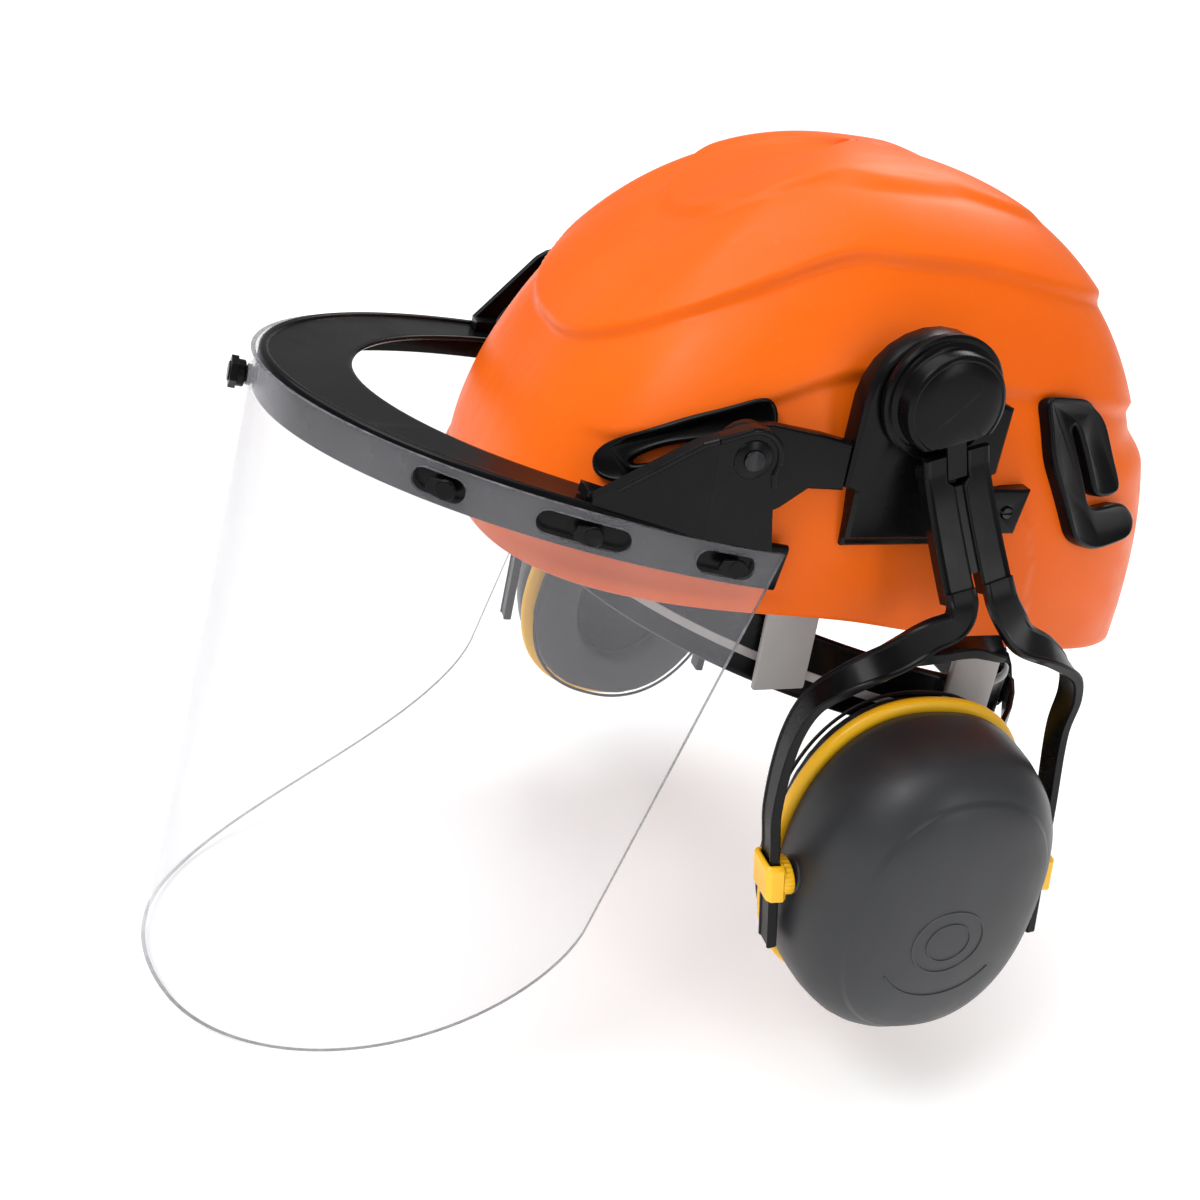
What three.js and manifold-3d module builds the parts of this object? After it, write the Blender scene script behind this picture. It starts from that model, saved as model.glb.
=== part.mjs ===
// Industrial hard hat with a flip-up face shield and cap-mounted ear muffs.
// Millimetres. +Z up, the wearer looks along -Y, +X is the wearer's left.
// The origin is the centre of the head, level with the forehead band.

import * as THREE from 'three';
import { mergeVertices } from 'three/addons/utils/BufferGeometryUtils.js';
import Module from 'manifold-3d';

const wasm = await Module();
wasm.setup();

// ---------------------------------------------------------------- dimensions

const DEG = Math.PI / 180;
const GAP = 0.35;                 // clearance between pieces that touch

// Shell
const SHELL_HALF_WIDTH = 99;
const SHELL_FRONT = 131;          // centre to brim
const SHELL_REAR = 129;           // centre to nape
const SHELL_TOP = 121;            // dome height before the raised tiers
const SHELL_WALL = 2.6;
const PLAN_POWER = 2.9;           // squareness of the plan outline
const RIM_FRONT_Z = -5;
const RIM_SIDE_Z = -12;
const RIM_REAR_Z = -41;
const PROFILE_SIDE = 2.5;         // squareness of the dome's profile, by direction
const PROFILE_FRONT = 1.65;
const PROFILE_REAR = 2.3;
const REAR_BULGE = 4.5;            // low swelling round the nape
const REAR_BULGE_Z = 40;
const SHELL_SEGMENTS = 48;
const SHELL_ROWS = 11;

// Raised tiers: height of each step, and its line as dome fractions against azimuth
const TIER_STEP = [2.4, 3.0, 2.0];
const TIER_WIDTH = 0.03;

// Ear-muff hub on the left of the shell
const HUB_Y = -7;
const HUB_Z = 71;
const HOUSING_RADIUS = 24;
const HOUSING_FACE_X = 102.5;
const HOUSING_DEPTH = 10;         // of the upright, which stands off the shell
const TURRET_RADIUS = 20;
const TURRET_THICK = 3.5;
const DISC_RADIUS = 16.3;
const DISC_FACE_X = 115.5;
const BASE_LOW_Z = 19;
const BASE_HIGH_Z = 47.5;
const BASE_FRONT_Y = -27.5;
const BASE_REAR_Y = 17.5;

// Yoke and cup
const YOKE_LEAN = 9.5 * DEG;      // the lower arms lean back from vertical
const STEM_LEAN = 17 * DEG;       // the stem leans back further
const STEM_WIDTH = 22;
const STEM_THICK = 6.5;
const STRAP_THICK = 3.8;          // the two straps that part from the stem to hold the cup
const ARM_WIDTH = 9;
const TILT_PIN_X = 109.5;
const TILT_PIN_DROP = 21;         // below the hub centre, along the stem
const TILT_PIN_RADIUS = 1.6;
const KNOB_X = 113;
const FRONT_KNOB = new THREE.Vector2(-33, -103.5);   // y, z
const REAR_KNOB = new THREE.Vector2(78.7, -110.5);
const CUP_PLANE_X = 97.6;          // outer face of the cushion plate
const CUP_HALF_LENGTH = 48;       // fore and aft
const CUP_HALF_HEIGHT = 62;
const CUP_DEPTH = 50;
const CUP_WALL = 3;
const CUSHION_THICK = 10.5;

// Visor
const CARRIER_PITCH = 9.8 * DEG;  // the carrier rises towards the front
const CARRIER_BACK_Y = -52;
const CARRIER_BACK_Z = 20.3;
const CARRIER_HALF_WIDTH = 102;
const CARRIER_REACH = 152;
const CARRIER_POWER = 1.96;
const CARRIER_TAIL = 6;
const CARRIER_WALL = 3;
const CARRIER_BAND = 15.4;
const LEDGE_HALF_WIDTH = 84;
const LEDGE_REACH = 120;
const LEDGE_THICK = 3;
const HINGE_Y = -66.5;
const HINGE_Z = 51;
const HINGE_PIN_RADIUS = 2.2;
const HINGE_HEAD_RADIUS = 3.4;
const ARM_INNER_X = 97;
const ARM_THICK = 5;
const SIDE_PLATE_X = ARM_INNER_X + ARM_THICK + 0.6;
const SIDE_PLATE_THICK = 4;
const CLAMP_GRIP = 5.5;             // reach of the front thumb screw
const LENS_THICK = 1.6;
const LENS_GAP = 1;
const LENS_DROP = 254;
const LENS_HALF_ARC = 172;        // half the lens's width along its curve, at the bottom
const LENS_TOP_ARC = 206;         // and at the top
const LENS_CORNER_RISE = 98;      // its lower corners are long curves: height,
const LENS_CORNER_ARC = 135;      // length along the sheet
const LENS_CORNER_POWER = 1.7;    // and fullness

// Suspension
const BAND_SLOPE = 0.35;          // the headband drops towards the nape
const BAND_HALF_WIDTH = 79.5;
const BAND_HALF_LENGTH = 103;
const BAND_CENTRE_Y = 4;
const BAND_LOW_Z = -60;           // lower edge beside the ear, at the band's centre
const BAND_HEIGHT = 27;
const BAND_THICK = 2;

// ------------------------------------------------------------------ helpers

function finish(positions, triangles) {
  let volume = 0;
  const at = (i) => new THREE.Vector3().fromArray(positions, 3 * i);
  for (let i = 0; i < triangles.length; i += 3) {
    const [a, b, c] = [at(triangles[i]), at(triangles[i + 1]), at(triangles[i + 2])];
    volume += a.dot(b.cross(c));
  }
  if (volume < 0) triangles.reverse();
  const geometry = new THREE.BufferGeometry();
  geometry.setAttribute('position', new THREE.Float32BufferAttribute(positions, 3));
  geometry.setIndex(triangles);
  return geometry;
}

// Closed solid through a row of rings with equal point counts. With loop the last
// ring joins the first, otherwise each end is closed by a fan. The quads of a ring's
// second half are split the other way, so a symmetrical solid gets symmetrical faces.
// A thin ring, there along one face and back along the other, is closed by a strip
// instead: a fan would stretch across the hollow that the ring bends round.
function loft(rings, loop = false, thin = false) {
  const count = rings[0].length;
  const positions = rings.flat().flatMap((p) => [p.x, p.y, p.z]);
  const triangles = [];
  const steps = loop ? rings.length : rings.length - 1;
  for (let r = 0; r < steps; r++) {
    const here = r * count;
    const next = ((r + 1) % rings.length) * count;
    for (let i = 0; i < count; i++) {
      const j = (i + 1) % count;
      const [a, b, c, d] = [here + i, here + j, next + j, next + i];
      if (i < count / 2) triangles.push(a, b, c, a, c, d);
      else triangles.push(a, b, d, b, c, d);
    }
  }
  if (!loop && thin) {
    for (const [ring, flip] of [[0, true], [rings.length - 1, false]]) {
      const start = ring * count;
      for (let i = 0; i < count / 2 - 1; i++) {
        const [a, b, c, d] = [start + i, start + i + 1, start + count - 2 - i, start + count - 1 - i];
        if (flip) triangles.push(a, c, b, a, d, c);
        else triangles.push(a, b, c, a, c, d);
      }
    }
  } else if (!loop) {
    for (const [ring, flip] of [[0, true], [rings.length - 1, false]]) {
      const centre = new THREE.Vector3();
      rings[ring].forEach((p) => centre.addScaledVector(p, 1 / count));
      const hub = positions.length / 3;
      positions.push(centre.x, centre.y, centre.z);
      for (let i = 0; i < count; i++) {
        const a = ring * count + i;
        const b = ring * count + ((i + 1) % count);
        if (flip) triangles.push(hub, b, a);
        else triangles.push(hub, a, b);
      }
    }
  }
  return finish(positions, triangles);
}

function toManifold(geometry) {
  const plain = geometry.clone();
  plain.deleteAttribute('normal');
  plain.deleteAttribute('uv');
  const welded = mergeVertices(plain, 1e-4);
  return new wasm.Manifold(new wasm.Mesh({
    numProp: 3,
    vertProperties: Float32Array.from(welded.attributes.position.array),
    triVerts: Uint32Array.from(welded.index.array),
  }));
}

function fromManifold(solid) {
  const { vertProperties, triVerts } = solid.getMesh();
  const geometry = new THREE.BufferGeometry();
  geometry.setAttribute('position', new THREE.Float32BufferAttribute(vertProperties, 3));
  geometry.setIndex(Array.from(triVerts));
  return geometry;
}

function union(...parts) {
  return fromManifold(parts.map(toManifold).reduce((a, b) => a.add(b)));
}

function cut(body, ...tools) {
  return fromManifold([body, ...tools].map(toManifold).reduce((a, b) => a.subtract(b)));
}

// A flat outline [[u, v], ...] pushed from `from` to `to` along the plane's normal.
// The plane is given by its origin and its two in-plane directions.
function prism(outline, from, to, origin, uAxis, vAxis, bevel = 0) {
  const shape = new THREE.Shape(outline.map(([u, v]) => new THREE.Vector2(u, v)));
  return pushShape(shape, from, to, origin, uAxis, vAxis, bevel);
}

function pushShape(shape, from, to, origin, uAxis, vAxis, bevel = 0, segments = 8) {
  const geometry = new THREE.ExtrudeGeometry(shape, {
    depth: to - from - 2 * bevel,
    bevelEnabled: bevel > 0,
    bevelThickness: bevel,
    bevelSize: bevel,
    bevelOffset: -bevel,
    bevelSegments: 1,
    curveSegments: segments,
  });
  geometry.translate(0, 0, from + bevel);
  const normal = new THREE.Vector3().crossVectors(uAxis, vAxis);
  const basis = new THREE.Matrix4().makeBasis(uAxis, vAxis, normal).setPosition(origin);
  geometry.applyMatrix4(basis);
  return geometry;
}

const X = new THREE.Vector3(1, 0, 0);
const Y = new THREE.Vector3(0, 1, 0);
const Z = new THREE.Vector3(0, 0, 1);
const ORIGIN = new THREE.Vector3();

// Outline in the side plane (y, z), pushed along +X from x = from to x = to.
function sidePrism(outline, from, to, bevel = 0) {
  return prism(outline, from, to, ORIGIN, Y, Z, bevel);
}

function box(x0, x1, y0, y1, z0, z1, bevel = 0) {
  return sidePrism([[y0, z0], [y1, z0], [y1, z1], [y0, z1]], x0, x1, bevel);
}

// Round bar from a to b.
function rod(a, b, radius, segments = 14) {
  const length = a.distanceTo(b);
  const geometry = new THREE.CylinderGeometry(radius, radius, length, segments);
  const direction = new THREE.Vector3().subVectors(b, a).normalize();
  geometry.applyQuaternion(new THREE.Quaternion().setFromUnitVectors(Y, direction));
  const middle = new THREE.Vector3().addVectors(a, b).multiplyScalar(0.5);
  geometry.translate(middle.x, middle.y, middle.z);
  return geometry;
}

const point = (x, y, z) => new THREE.Vector3(x, y, z);

// Value at share s (0 to 1) of a list of equally spaced values.
function along(values, s) {
  const at = s * (values.length - 1);
  const low = Math.min(Math.floor(at), values.length - 2);
  return THREE.MathUtils.lerp(values[low], values[low + 1], at - low);
}

// Flat bar through a row of points. Its width starts in the side plane (y, z), with its
// face outwards, and the bar is twisted about its own line by `turns`, in degrees.
function flatBar(points, widths, thick, samples = 20, turns = [0, 0]) {
  const curve = new THREE.CatmullRomCurve3(points, false, 'centripetal');
  const rings = [];
  for (let i = 0; i <= samples; i++) {
    const s = i / samples;
    const t = curve.getUtoTmapping(s);
    const centre = curve.getPoint(t);
    const tangent = curve.getTangent(t);
    const across = new THREE.Vector3().crossVectors(tangent, X).normalize();
    across.applyAxisAngle(tangent, along(turns, t) * DEG);
    const out = new THREE.Vector3().crossVectors(across, tangent).normalize();
    const width = along(widths, t);
    rings.push([[-1, -1], [1, -1], [1, 1], [-1, 1]].map(([a, b]) => centre.clone()
      .addScaledVector(across, a * width / 2)
      .addScaledVector(out, b * thick / 2)));
  }
  return loft(rings);
}

// Superellipse ring in the side plane at distance x.
function ovalRing(x, centreY, centreZ, halfLength, halfHeight, count = 40, power = 2.4, turn = 0) {
  return Array.from({ length: count }, (_, i) => {
    const t = 2 * Math.PI * i / count;
    const u = halfLength * Math.sign(Math.cos(t)) * Math.abs(Math.cos(t)) ** (2 / power);
    const v = halfHeight * Math.sign(Math.sin(t)) * Math.abs(Math.sin(t)) ** (2 / power);
    return point(x, centreY + u * Math.cos(turn) - v * Math.sin(turn),
      centreZ + u * Math.sin(turn) + v * Math.cos(turn));
  });
}

function mirrored(geometry) {
  const copy = (geometry.index ? geometry.clone() : mergeVertices(geometry.clone()));
  copy.deleteAttribute('normal');
  copy.deleteAttribute('uv');
  copy.scale(-1, 1, 1);
  const index = Array.from(copy.index.array);
  for (let i = 0; i < index.length; i += 3) [index[i], index[i + 1]] = [index[i + 1], index[i]];
  copy.setIndex(index);
  return copy;
}

const smooth = (x) => THREE.MathUtils.smoothstep(x, 0, 1);
const ramp = (x, x0, x1) => smooth((x - x0) / (x1 - x0));

// -------------------------------------------------------------------- shell

// Azimuth is 0 at the front, 90 degrees at the wearer's left and 180 at the nape.
function rimZ(azimuth) {
  const c = Math.cos(azimuth);
  const tilt = (RIM_FRONT_Z - RIM_REAR_Z) / 2;
  const bow = (RIM_FRONT_Z + RIM_REAR_Z) / 2 - RIM_SIDE_Z;
  return RIM_SIDE_Z + tilt * c + bow * c * c;
}

// Dome fraction of each tier's lower edge, and how fully the step shows there.
function tierLines(azimuth) {
  const a = Math.abs(THREE.MathUtils.euclideanModulo(azimuth / DEG + 180, 360) - 180);
  return [
    [0.36 + 0.24 * ramp(a, 30, 76) - 0.05 * ramp(a, 110, 160), ramp(a, 26, 40)],
    [0.50 + 0.33 * ramp(a, 4, 74) - 0.07 * ramp(a, 100, 170), 1],
    [0.80 + 0.15 * ramp(a, 0, 62) - 0.05 * ramp(a, 115, 160), 1 - ramp(a, 140, 165)],
  ];
}

// Point on the shell's outer face at a dome fraction (0 rim, 1 crown), moved out by lift.
function shellPoint(azimuth, fraction, lift = 0) {
  const c = Math.cos(azimuth);
  const s = Math.sin(azimuth);
  const reach = c > 0 ? SHELL_FRONT : SHELL_REAR;
  const radius = (Math.abs(s / SHELL_HALF_WIDTH) ** PLAN_POWER
    + Math.abs(c / reach) ** PLAN_POWER) ** (-1 / PLAN_POWER);
  const end = c > 0 ? PROFILE_FRONT : PROFILE_REAR;
  const power = PROFILE_SIDE + (end - PROFILE_SIDE) * c * c;
  const spread = (1 - Math.min(fraction, 1) ** power) ** (1 / power);
  const low = rimZ(azimuth);
  const base = point(radius * spread * s, -radius * spread * c,
    low + (SHELL_TOP - low) * fraction);
  const height = SHELL_TOP - low;
  const normal = point(base.x / SHELL_HALF_WIDTH ** 2, base.y / reach ** 2,
    (base.z - low) / height ** 2).normalize();
  let raise = 0;
  tierLines(azimuth).forEach(([line, show], i) => {
    raise += TIER_STEP[i] * show * smooth((fraction - line) / TIER_WIDTH);
  });
  raise += REAR_BULGE * ramp(-c, 0.6, 0.93) * (1 - ramp(base.z, REAR_BULGE_Z - 8, REAR_BULGE_Z + 6));
  return base.addScaledVector(normal, raise + lift);
}

// The same, found by its height instead of its dome fraction.
function shellAt(azimuth, z, lift = 0) {
  const low = rimZ(azimuth);
  return shellPoint(azimuth, (z - low) / (SHELL_TOP - low), lift);
}

function shellRings(lift, rows = SHELL_ROWS, count = SHELL_SEGMENTS) {
  return Array.from({ length: rows }, (_, row) => {
    const fraction = Math.sin((Math.PI / 2) * row / rows);
    return Array.from({ length: count }, (_, i) =>
      shellPoint(2 * Math.PI * i / count, fraction, lift));
  });
}

// Everything inside the shell's outer face grown by lift, used to cut other pieces to fit.
function shellEnvelope(lift) {
  const rings = shellRings(lift);
  const skirt = rings[0].map((p) => point(p.x, p.y, p.z - 40));
  return loft([skirt, ...rings]);
}

function shell() {
  const outer = shellRings(0);
  const inner = shellRings(-SHELL_WALL).reverse();
  return loft([...inner, ...outer]);
}

// Moulding bent onto the shell: an outline of [azimuth in degrees, height] points,
// from lift `low` to lift `high`.
const BEND_STEP = 6;

function shellPlate(outline, low, high) {
  const flat = prism(outline.map(([azimuth, z]) => [azimuth * DEG * SHELL_HALF_WIDTH, z]),
    low, high, ORIGIN, X, Y);
  const bent = toManifold(flat).refineToLength(BEND_STEP).warp((place) => {
    const [across, z, lift] = place;
    [place[0], place[1], place[2]] = shellAt(across / SHELL_HALF_WIDTH, z, lift).toArray();
  });
  return fromManifold(bent);
}

// Everything that sits on the shell is trimmed to it, so it follows the tiers exactly.
function fitted(geometry, gap = GAP) {
  return cut(geometry, shellEnvelope(gap));
}

// Long arm with a kink, and a short tongue that turns back under it.
const FRONT_CLIP = [
  [35, 31], [33.5, 36], [35, 41.5], [45.5, 53.5], [56, 62], [58.5, 60.5], [59.5, 55],
  [58, 52.5], [50, 48.5], [43.5, 44.5], [39.5, 39], [39.5, 36.5], [44.5, 41], [46, 39.5],
  [41.5, 33.5], [38.5, 30.5],
];

// Leaning plate with a narrow slot down its middle that turns out to the rear edge.
const REAR_CLIP = [
  [116, 65], [126, 63], [131, 57], [134.5, 33], [133, 30.5], [128, 31.5], [123.5, 54],
  [122, 56], [120.5, 54], [126, 26.5], [135.5, 27.5], [139.5, 20], [139, 13], [129, 12],
  [124, 17], [117, 45],
];

const CLIP_RISE = 4.6;

function lampClip(outline) {
  return fitted(shellPlate(outline, -3, CLIP_RISE));
}

// ------------------------------------------------------- ear-muff adapter (left)

function arc(centreY, centreZ, radius, from, to, steps) {
  return Array.from({ length: steps + 1 }, (_, i) => {
    const a = (from + (to - from) * i / steps) * DEG;
    return [centreY + radius * Math.cos(a), centreZ + radius * Math.sin(a)];
  });
}

// Fixed block that plugs into the shell's side slot, and the upright that stands off the
// shell on it and carries the hub.
function hubHousing() {
  const block = sidePrism([
    [BASE_FRONT_Y, BASE_LOW_Z], [BASE_REAR_Y, BASE_LOW_Z], [BASE_REAR_Y, BASE_HIGH_Z],
    [BASE_FRONT_Y - 4, BASE_HIGH_Z], [BASE_FRONT_Y - 4, 40], [BASE_FRONT_Y, 40],
  ], 76, HOUSING_FACE_X - 2, 1);
  const upright = sidePrism([
    [BASE_FRONT_Y, BASE_LOW_Z + 3], [BASE_REAR_Y, BASE_LOW_Z + 3], [BASE_REAR_Y, 43],
    [BASE_REAR_Y + 4, 45], [BASE_REAR_Y + 4, 67], [BASE_REAR_Y + 1, 68],
    ...arc(HUB_Y, HUB_Z - 5, HOUSING_RADIUS, 5, 175, 12), [BASE_FRONT_Y - 4, 40],
    [BASE_FRONT_Y, 38],
  ], HOUSING_FACE_X - HOUSING_DEPTH, HOUSING_FACE_X, 1.2);
  const socket = rod(point(HOUSING_FACE_X - 8, HUB_Y, HUB_Z),
    point(HOUSING_FACE_X + 5, HUB_Y, HUB_Z), 6.3, 16);
  return cut(fitted(union(block, upright)), socket);
}

const PLATE_FACE_X = 99;
const PLATE_LENGTH = 21;
const plateScrewY = BASE_REAR_Y + 14;
const plateScrewZ = BASE_LOW_Z + 11;

function screwPlate() {
  const front = BASE_REAR_Y + GAP;
  const plate = sidePrism([
    [front, BASE_LOW_Z + 3], [front + PLATE_LENGTH - 2, BASE_LOW_Z + 3],
    [front + PLATE_LENGTH, BASE_LOW_Z + 19], [front, BASE_LOW_Z + 19],
  ], 76, PLATE_FACE_X, 0.8);
  const hole = rod(point(PLATE_FACE_X - 2.5, plateScrewY, plateScrewZ),
    point(PLATE_FACE_X + 3, plateScrewY, plateScrewZ), 2.2, 16);
  return cut(fitted(plate), hole);
}

function plateScrew() {
  const head = rod(point(PLATE_FACE_X - 2.1, plateScrewY, plateScrewZ),
    point(PLATE_FACE_X + 0.7, plateScrewY, plateScrewZ), 1.9, 16);
  const slot = box(PLATE_FACE_X - 0.1, PLATE_FACE_X + 2, plateScrewY - 2, plateScrewY + 2,
    plateScrewZ - 0.4, plateScrewZ + 0.4);
  return cut(head, slot);
}

// Turning disc with a lug for the tilt pin. Down the stem is `stemDown`.
const stemDown = point(0, Math.sin(STEM_LEAN), -Math.cos(STEM_LEAN));
const stemAcross = point(0, Math.cos(STEM_LEAN), Math.sin(STEM_LEAN));
const hubCentre = point(0, HUB_Y, HUB_Z);
const tiltPin = hubCentre.clone().addScaledVector(stemDown, TILT_PIN_DROP).setX(TILT_PIN_X);

function stemBox(x0, x1, across0, across1, drop0, drop1, bevel = 0) {
  const up = stemDown.clone().negate();
  return prism([[across0, -drop1], [across1, -drop1], [across1, -drop0], [across0, -drop0]],
    x0, x1, hubCentre, stemAcross, up, bevel);
}

function turret() {
  const back = HOUSING_FACE_X + GAP;
  const profile = [
    [0, back - 6], [6, back - 6], [6, back], [TURRET_RADIUS, back],
    [TURRET_RADIUS, back + TURRET_THICK], [DISC_RADIUS + 1, back + TURRET_THICK],
    [DISC_RADIUS, back + TURRET_THICK + 1], [DISC_RADIUS, DISC_FACE_X - 2.5],
    [DISC_RADIUS - 2.5, DISC_FACE_X - 0.6], [0, DISC_FACE_X],
  ].map(([r, x]) => new THREE.Vector2(r, x));
  const disc = new THREE.LatheGeometry(profile, 16);
  disc.rotateZ(-Math.PI / 2);
  disc.translate(0, HUB_Y, HUB_Z);
  const lug = stemBox(back, TILT_PIN_X + 3.5, -4.8, 4.8, DISC_RADIUS - 3, TILT_PIN_DROP + 3.5, 0.4);
  const hole = rod(tiltPin.clone().addScaledVector(stemAcross, -8),
    tiltPin.clone().addScaledVector(stemAcross, 8), TILT_PIN_RADIUS + 0.2);
  return cut(union(mergeClean(disc), lug), hole);
}

function mergeClean(geometry) {
  const copy = geometry.clone();
  copy.deleteAttribute('normal');
  copy.deleteAttribute('uv');
  return finish(Array.from(mergeVertices(copy, 1e-4).attributes.position.array),
    Array.from(mergeVertices(copy, 1e-4).index.array));
}

function tiltPinRod() {
  return rod(tiltPin.clone().addScaledVector(stemAcross, -STEM_WIDTH / 2),
    tiltPin.clone().addScaledVector(stemAcross, STEM_WIDTH / 2), TILT_PIN_RADIUS);
}

// --------------------------------------------------------------- yoke (left)

const armDown = point(0, Math.sin(YOKE_LEAN), -Math.cos(YOKE_LEAN));
const frontKnob = point(KNOB_X, FRONT_KNOB.x, FRONT_KNOB.y);
const rearKnob = point(KNOB_X, REAR_KNOB.x, REAR_KNOB.y);
const knobAxis = new THREE.Vector3().subVectors(rearKnob, frontKnob).normalize();
const cupPivot = new THREE.Vector3().addVectors(frontKnob, rearKnob).multiplyScalar(0.5);
const STRAIGHT_UP = 30;           // straight run of each arm above its knob
const STRAIGHT_DOWN = 31;         // and below it

// Centre line of one strap: over the shoulder, then straight down past its knob.
function strapLine(knob, shoulder) {
  const beside = (d) => knob.clone().addScaledVector(armDown, d);
  return [...shoulder, ...[-STRAIGHT_UP, -15, 0, 15, STRAIGHT_DOWN].map(beside)];
}

const FRONT_SHOULDER = [
  point(127, 0, 10.5), point(127.5, -5, 0.5), point(125.5, -14.5, -8),
  point(122.5, -25.5, -16.5), point(118.5, -34.5, -27), point(115, -38, -42.5),
];
const REAR_SHOULDER = [
  point(127, 12.5, 11.5), point(127.5, 19, 3), point(125.5, 31, -2.5), point(123, 46, -10),
  point(119.5, 59, -19.5), point(116.5, 65, -31), point(114, 67, -46.5),
];
const STRAP_WIDTHS = [10.5, 10.5, 11, 11, 10.5, 10, 9.5, ARM_WIDTH, ARM_WIDTH, ARM_WIDTH, ARM_WIDTH];

const stemTop = tiltPin.clone().addScaledVector(stemDown, 6).setX(TILT_PIN_X + 0.5);
const stemFoot = tiltPin.clone().addScaledVector(stemDown, 51).setX(128);

function stemLine(from, to, shift) {
  return [0, 1 / 3, 2 / 3, 1].map((f) => stemTop.clone()
    .lerp(stemFoot, from + (to - from) * f).add(point(shift + 1.5 * Math.sin(Math.PI * f), 0, 0)));
}

// Cheek on either side of the turret's lug, with an eye for the tilt pin.
function cheek(from, to) {
  const plate = stemBox(TILT_PIN_X - 3, TILT_PIN_X + 3.5, from, to,
    TILT_PIN_DROP, TILT_PIN_DROP + 9);
  const eye = rod(tiltPin.clone().addScaledVector(stemAcross, from),
    tiltPin.clone().addScaledVector(stemAcross, to), 3, 14);
  return union(plate, eye);
}

function yoke() {
  const stem = flatBar(stemLine(0, 1, 0), [STEM_WIDTH, STEM_WIDTH + 2], STEM_THICK, 8);
  const groove = flatBar(stemLine(-0.05, 0.6, STEM_THICK / 2), [3, 3], 1.6, 6);
  const slot = flatBar(stemLine(0.66, 1.3, 0), [3.6, 3.6], 3 * STEM_THICK, 4);
  const front = flatBar(strapLine(frontKnob, FRONT_SHOULDER), STRAP_WIDTHS, STRAP_THICK, 22,
    [0, 0, 25, 60, 85, 90, 90, 90, 90, 90, 90]);
  const rear = flatBar(strapLine(rearKnob, REAR_SHOULDER), STRAP_WIDTHS, STRAP_THICK, 22,
    [0, 0, -15, -40, -65, -85, -90, -90, -90, -90, -90, -90]);
  const bridge = flatBar([point(125, -9, -9.5), point(125, 8.5, -5.5), point(125, 24.5, -6.5)],
    [9, 9], STRAP_THICK, 6, [60, 90, -90 + 180, 120]);
  const notch = stemBox(TILT_PIN_X - 10, TILT_PIN_X + 9, -5.2, 5.2, TILT_PIN_DROP - 6, TILT_PIN_DROP + 5.2);
  const hole = rod(tiltPin.clone().addScaledVector(stemAcross, -STEM_WIDTH),
    tiltPin.clone().addScaledVector(stemAcross, STEM_WIDTH), TILT_PIN_RADIUS + 0.15);
  const body = cut(union(stem, cheek(-STEM_WIDTH / 2, -5.2), cheek(5.2, STEM_WIDTH / 2)),
    groove, slot);
  return cut(union(body, front, rear, bridge), notch, hole);
}

// Yellow block that slides on one arm and holds the cup's pivot.
const SLIDER_HALF = 8;
const SLIDER_WIDTH = 14.4;
const SLIDER_SKIN = 1.7;
const SLIDER_CLEAR = 0.35;
const CUP_BOSS = 48.3;            // from the cup's centre to the end of its side bosses

// side is -1 for the front arm and +1 for the rear arm.
function slider(knob, side) {
  const up = armDown.clone().negate();
  const half = STRAP_THICK / 2 + SLIDER_CLEAR;
  const wide = SLIDER_WIDTH / 2;
  const block = prism([[-wide, -SLIDER_HALF], [wide, -SLIDER_HALF], [wide, SLIDER_HALF],
    [-wide, SLIDER_HALF]], -half - SLIDER_SKIN, half + SLIDER_SKIN, knob, X, up, 1.2);
  const reach = frontKnob.distanceTo(rearKnob) / 2 - CUP_BOSS - GAP;
  const pivotward = knobAxis.clone().multiplyScalar(-side);
  const barrel = rod(knob.clone().addScaledVector(pivotward, half),
    knob.clone().addScaledVector(pivotward, reach), SLIDER_WIDTH / 2, 20);
  const hollow = ARM_WIDTH / 2 + SLIDER_CLEAR;
  const channel = prism([[-hollow, -20], [hollow, -20], [hollow, 20], [-hollow, 20]], -half, half,
    knob, X, up);
  const bore = rod(knob.clone().addScaledVector(pivotward, half + 0.8),
    knob.clone().addScaledVector(pivotward, reach + 2), 2.8, 14);
  return cut(union(block, barrel), channel, bore);
}

// ---------------------------------------------------------------- cup (left)

const CUP_TURN = Math.atan2(knobAxis.z, knobAxis.y);

function cupRing(x, halfLength, halfHeight) {
  return ovalRing(x, cupPivot.y, cupPivot.z, halfLength, halfHeight, 28, 2.35, CUP_TURN);
}

// Fractions of the cup's depth with the outline's fore-aft and vertical shares there.
const CUP_SECTIONS = [
  [0.06, 0.98, 0.98], [0.16, 1.0, 1.0], [0.40, 0.99, 0.99], [0.62, 0.94, 0.95],
  [0.80, 0.82, 0.86], [0.92, 0.64, 0.70], [0.98, 0.42, 0.48], [1.0, 0.18, 0.22],
];

function cupShell() {
  const outer = CUP_SECTIONS.map(([d, l, h]) =>
    cupRing(CUP_PLANE_X + CUP_DEPTH * d, CUP_HALF_LENGTH * l, CUP_HALF_HEIGHT * h));
  const inner = CUP_SECTIONS.map(([d, l, h]) =>
    cupRing(CUP_PLANE_X + (CUP_DEPTH - CUP_WALL) * d, CUP_HALF_LENGTH * l - CUP_WALL,
      CUP_HALF_HEIGHT * h - CUP_WALL));
  inner[0].forEach((p) => { p.x = outer[0][0].x; });
  const bowl = loft([...inner.reverse(), ...outer]);
  const bosses = [-1, 1].map((side) => {
    const at = (d) => cupPivot.clone().addScaledVector(knobAxis, side * d);
    const boss = rod(at(CUP_HALF_LENGTH - 4), at(CUP_BOSS), 7, 16);
    const pin = rod(at(CUP_HALF_LENGTH - 2.5), at(CUP_BOSS + 2.2), 2.4, 16);
    return union(boss, pin);
  });
  return union(bowl, ...bosses);
}

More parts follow.
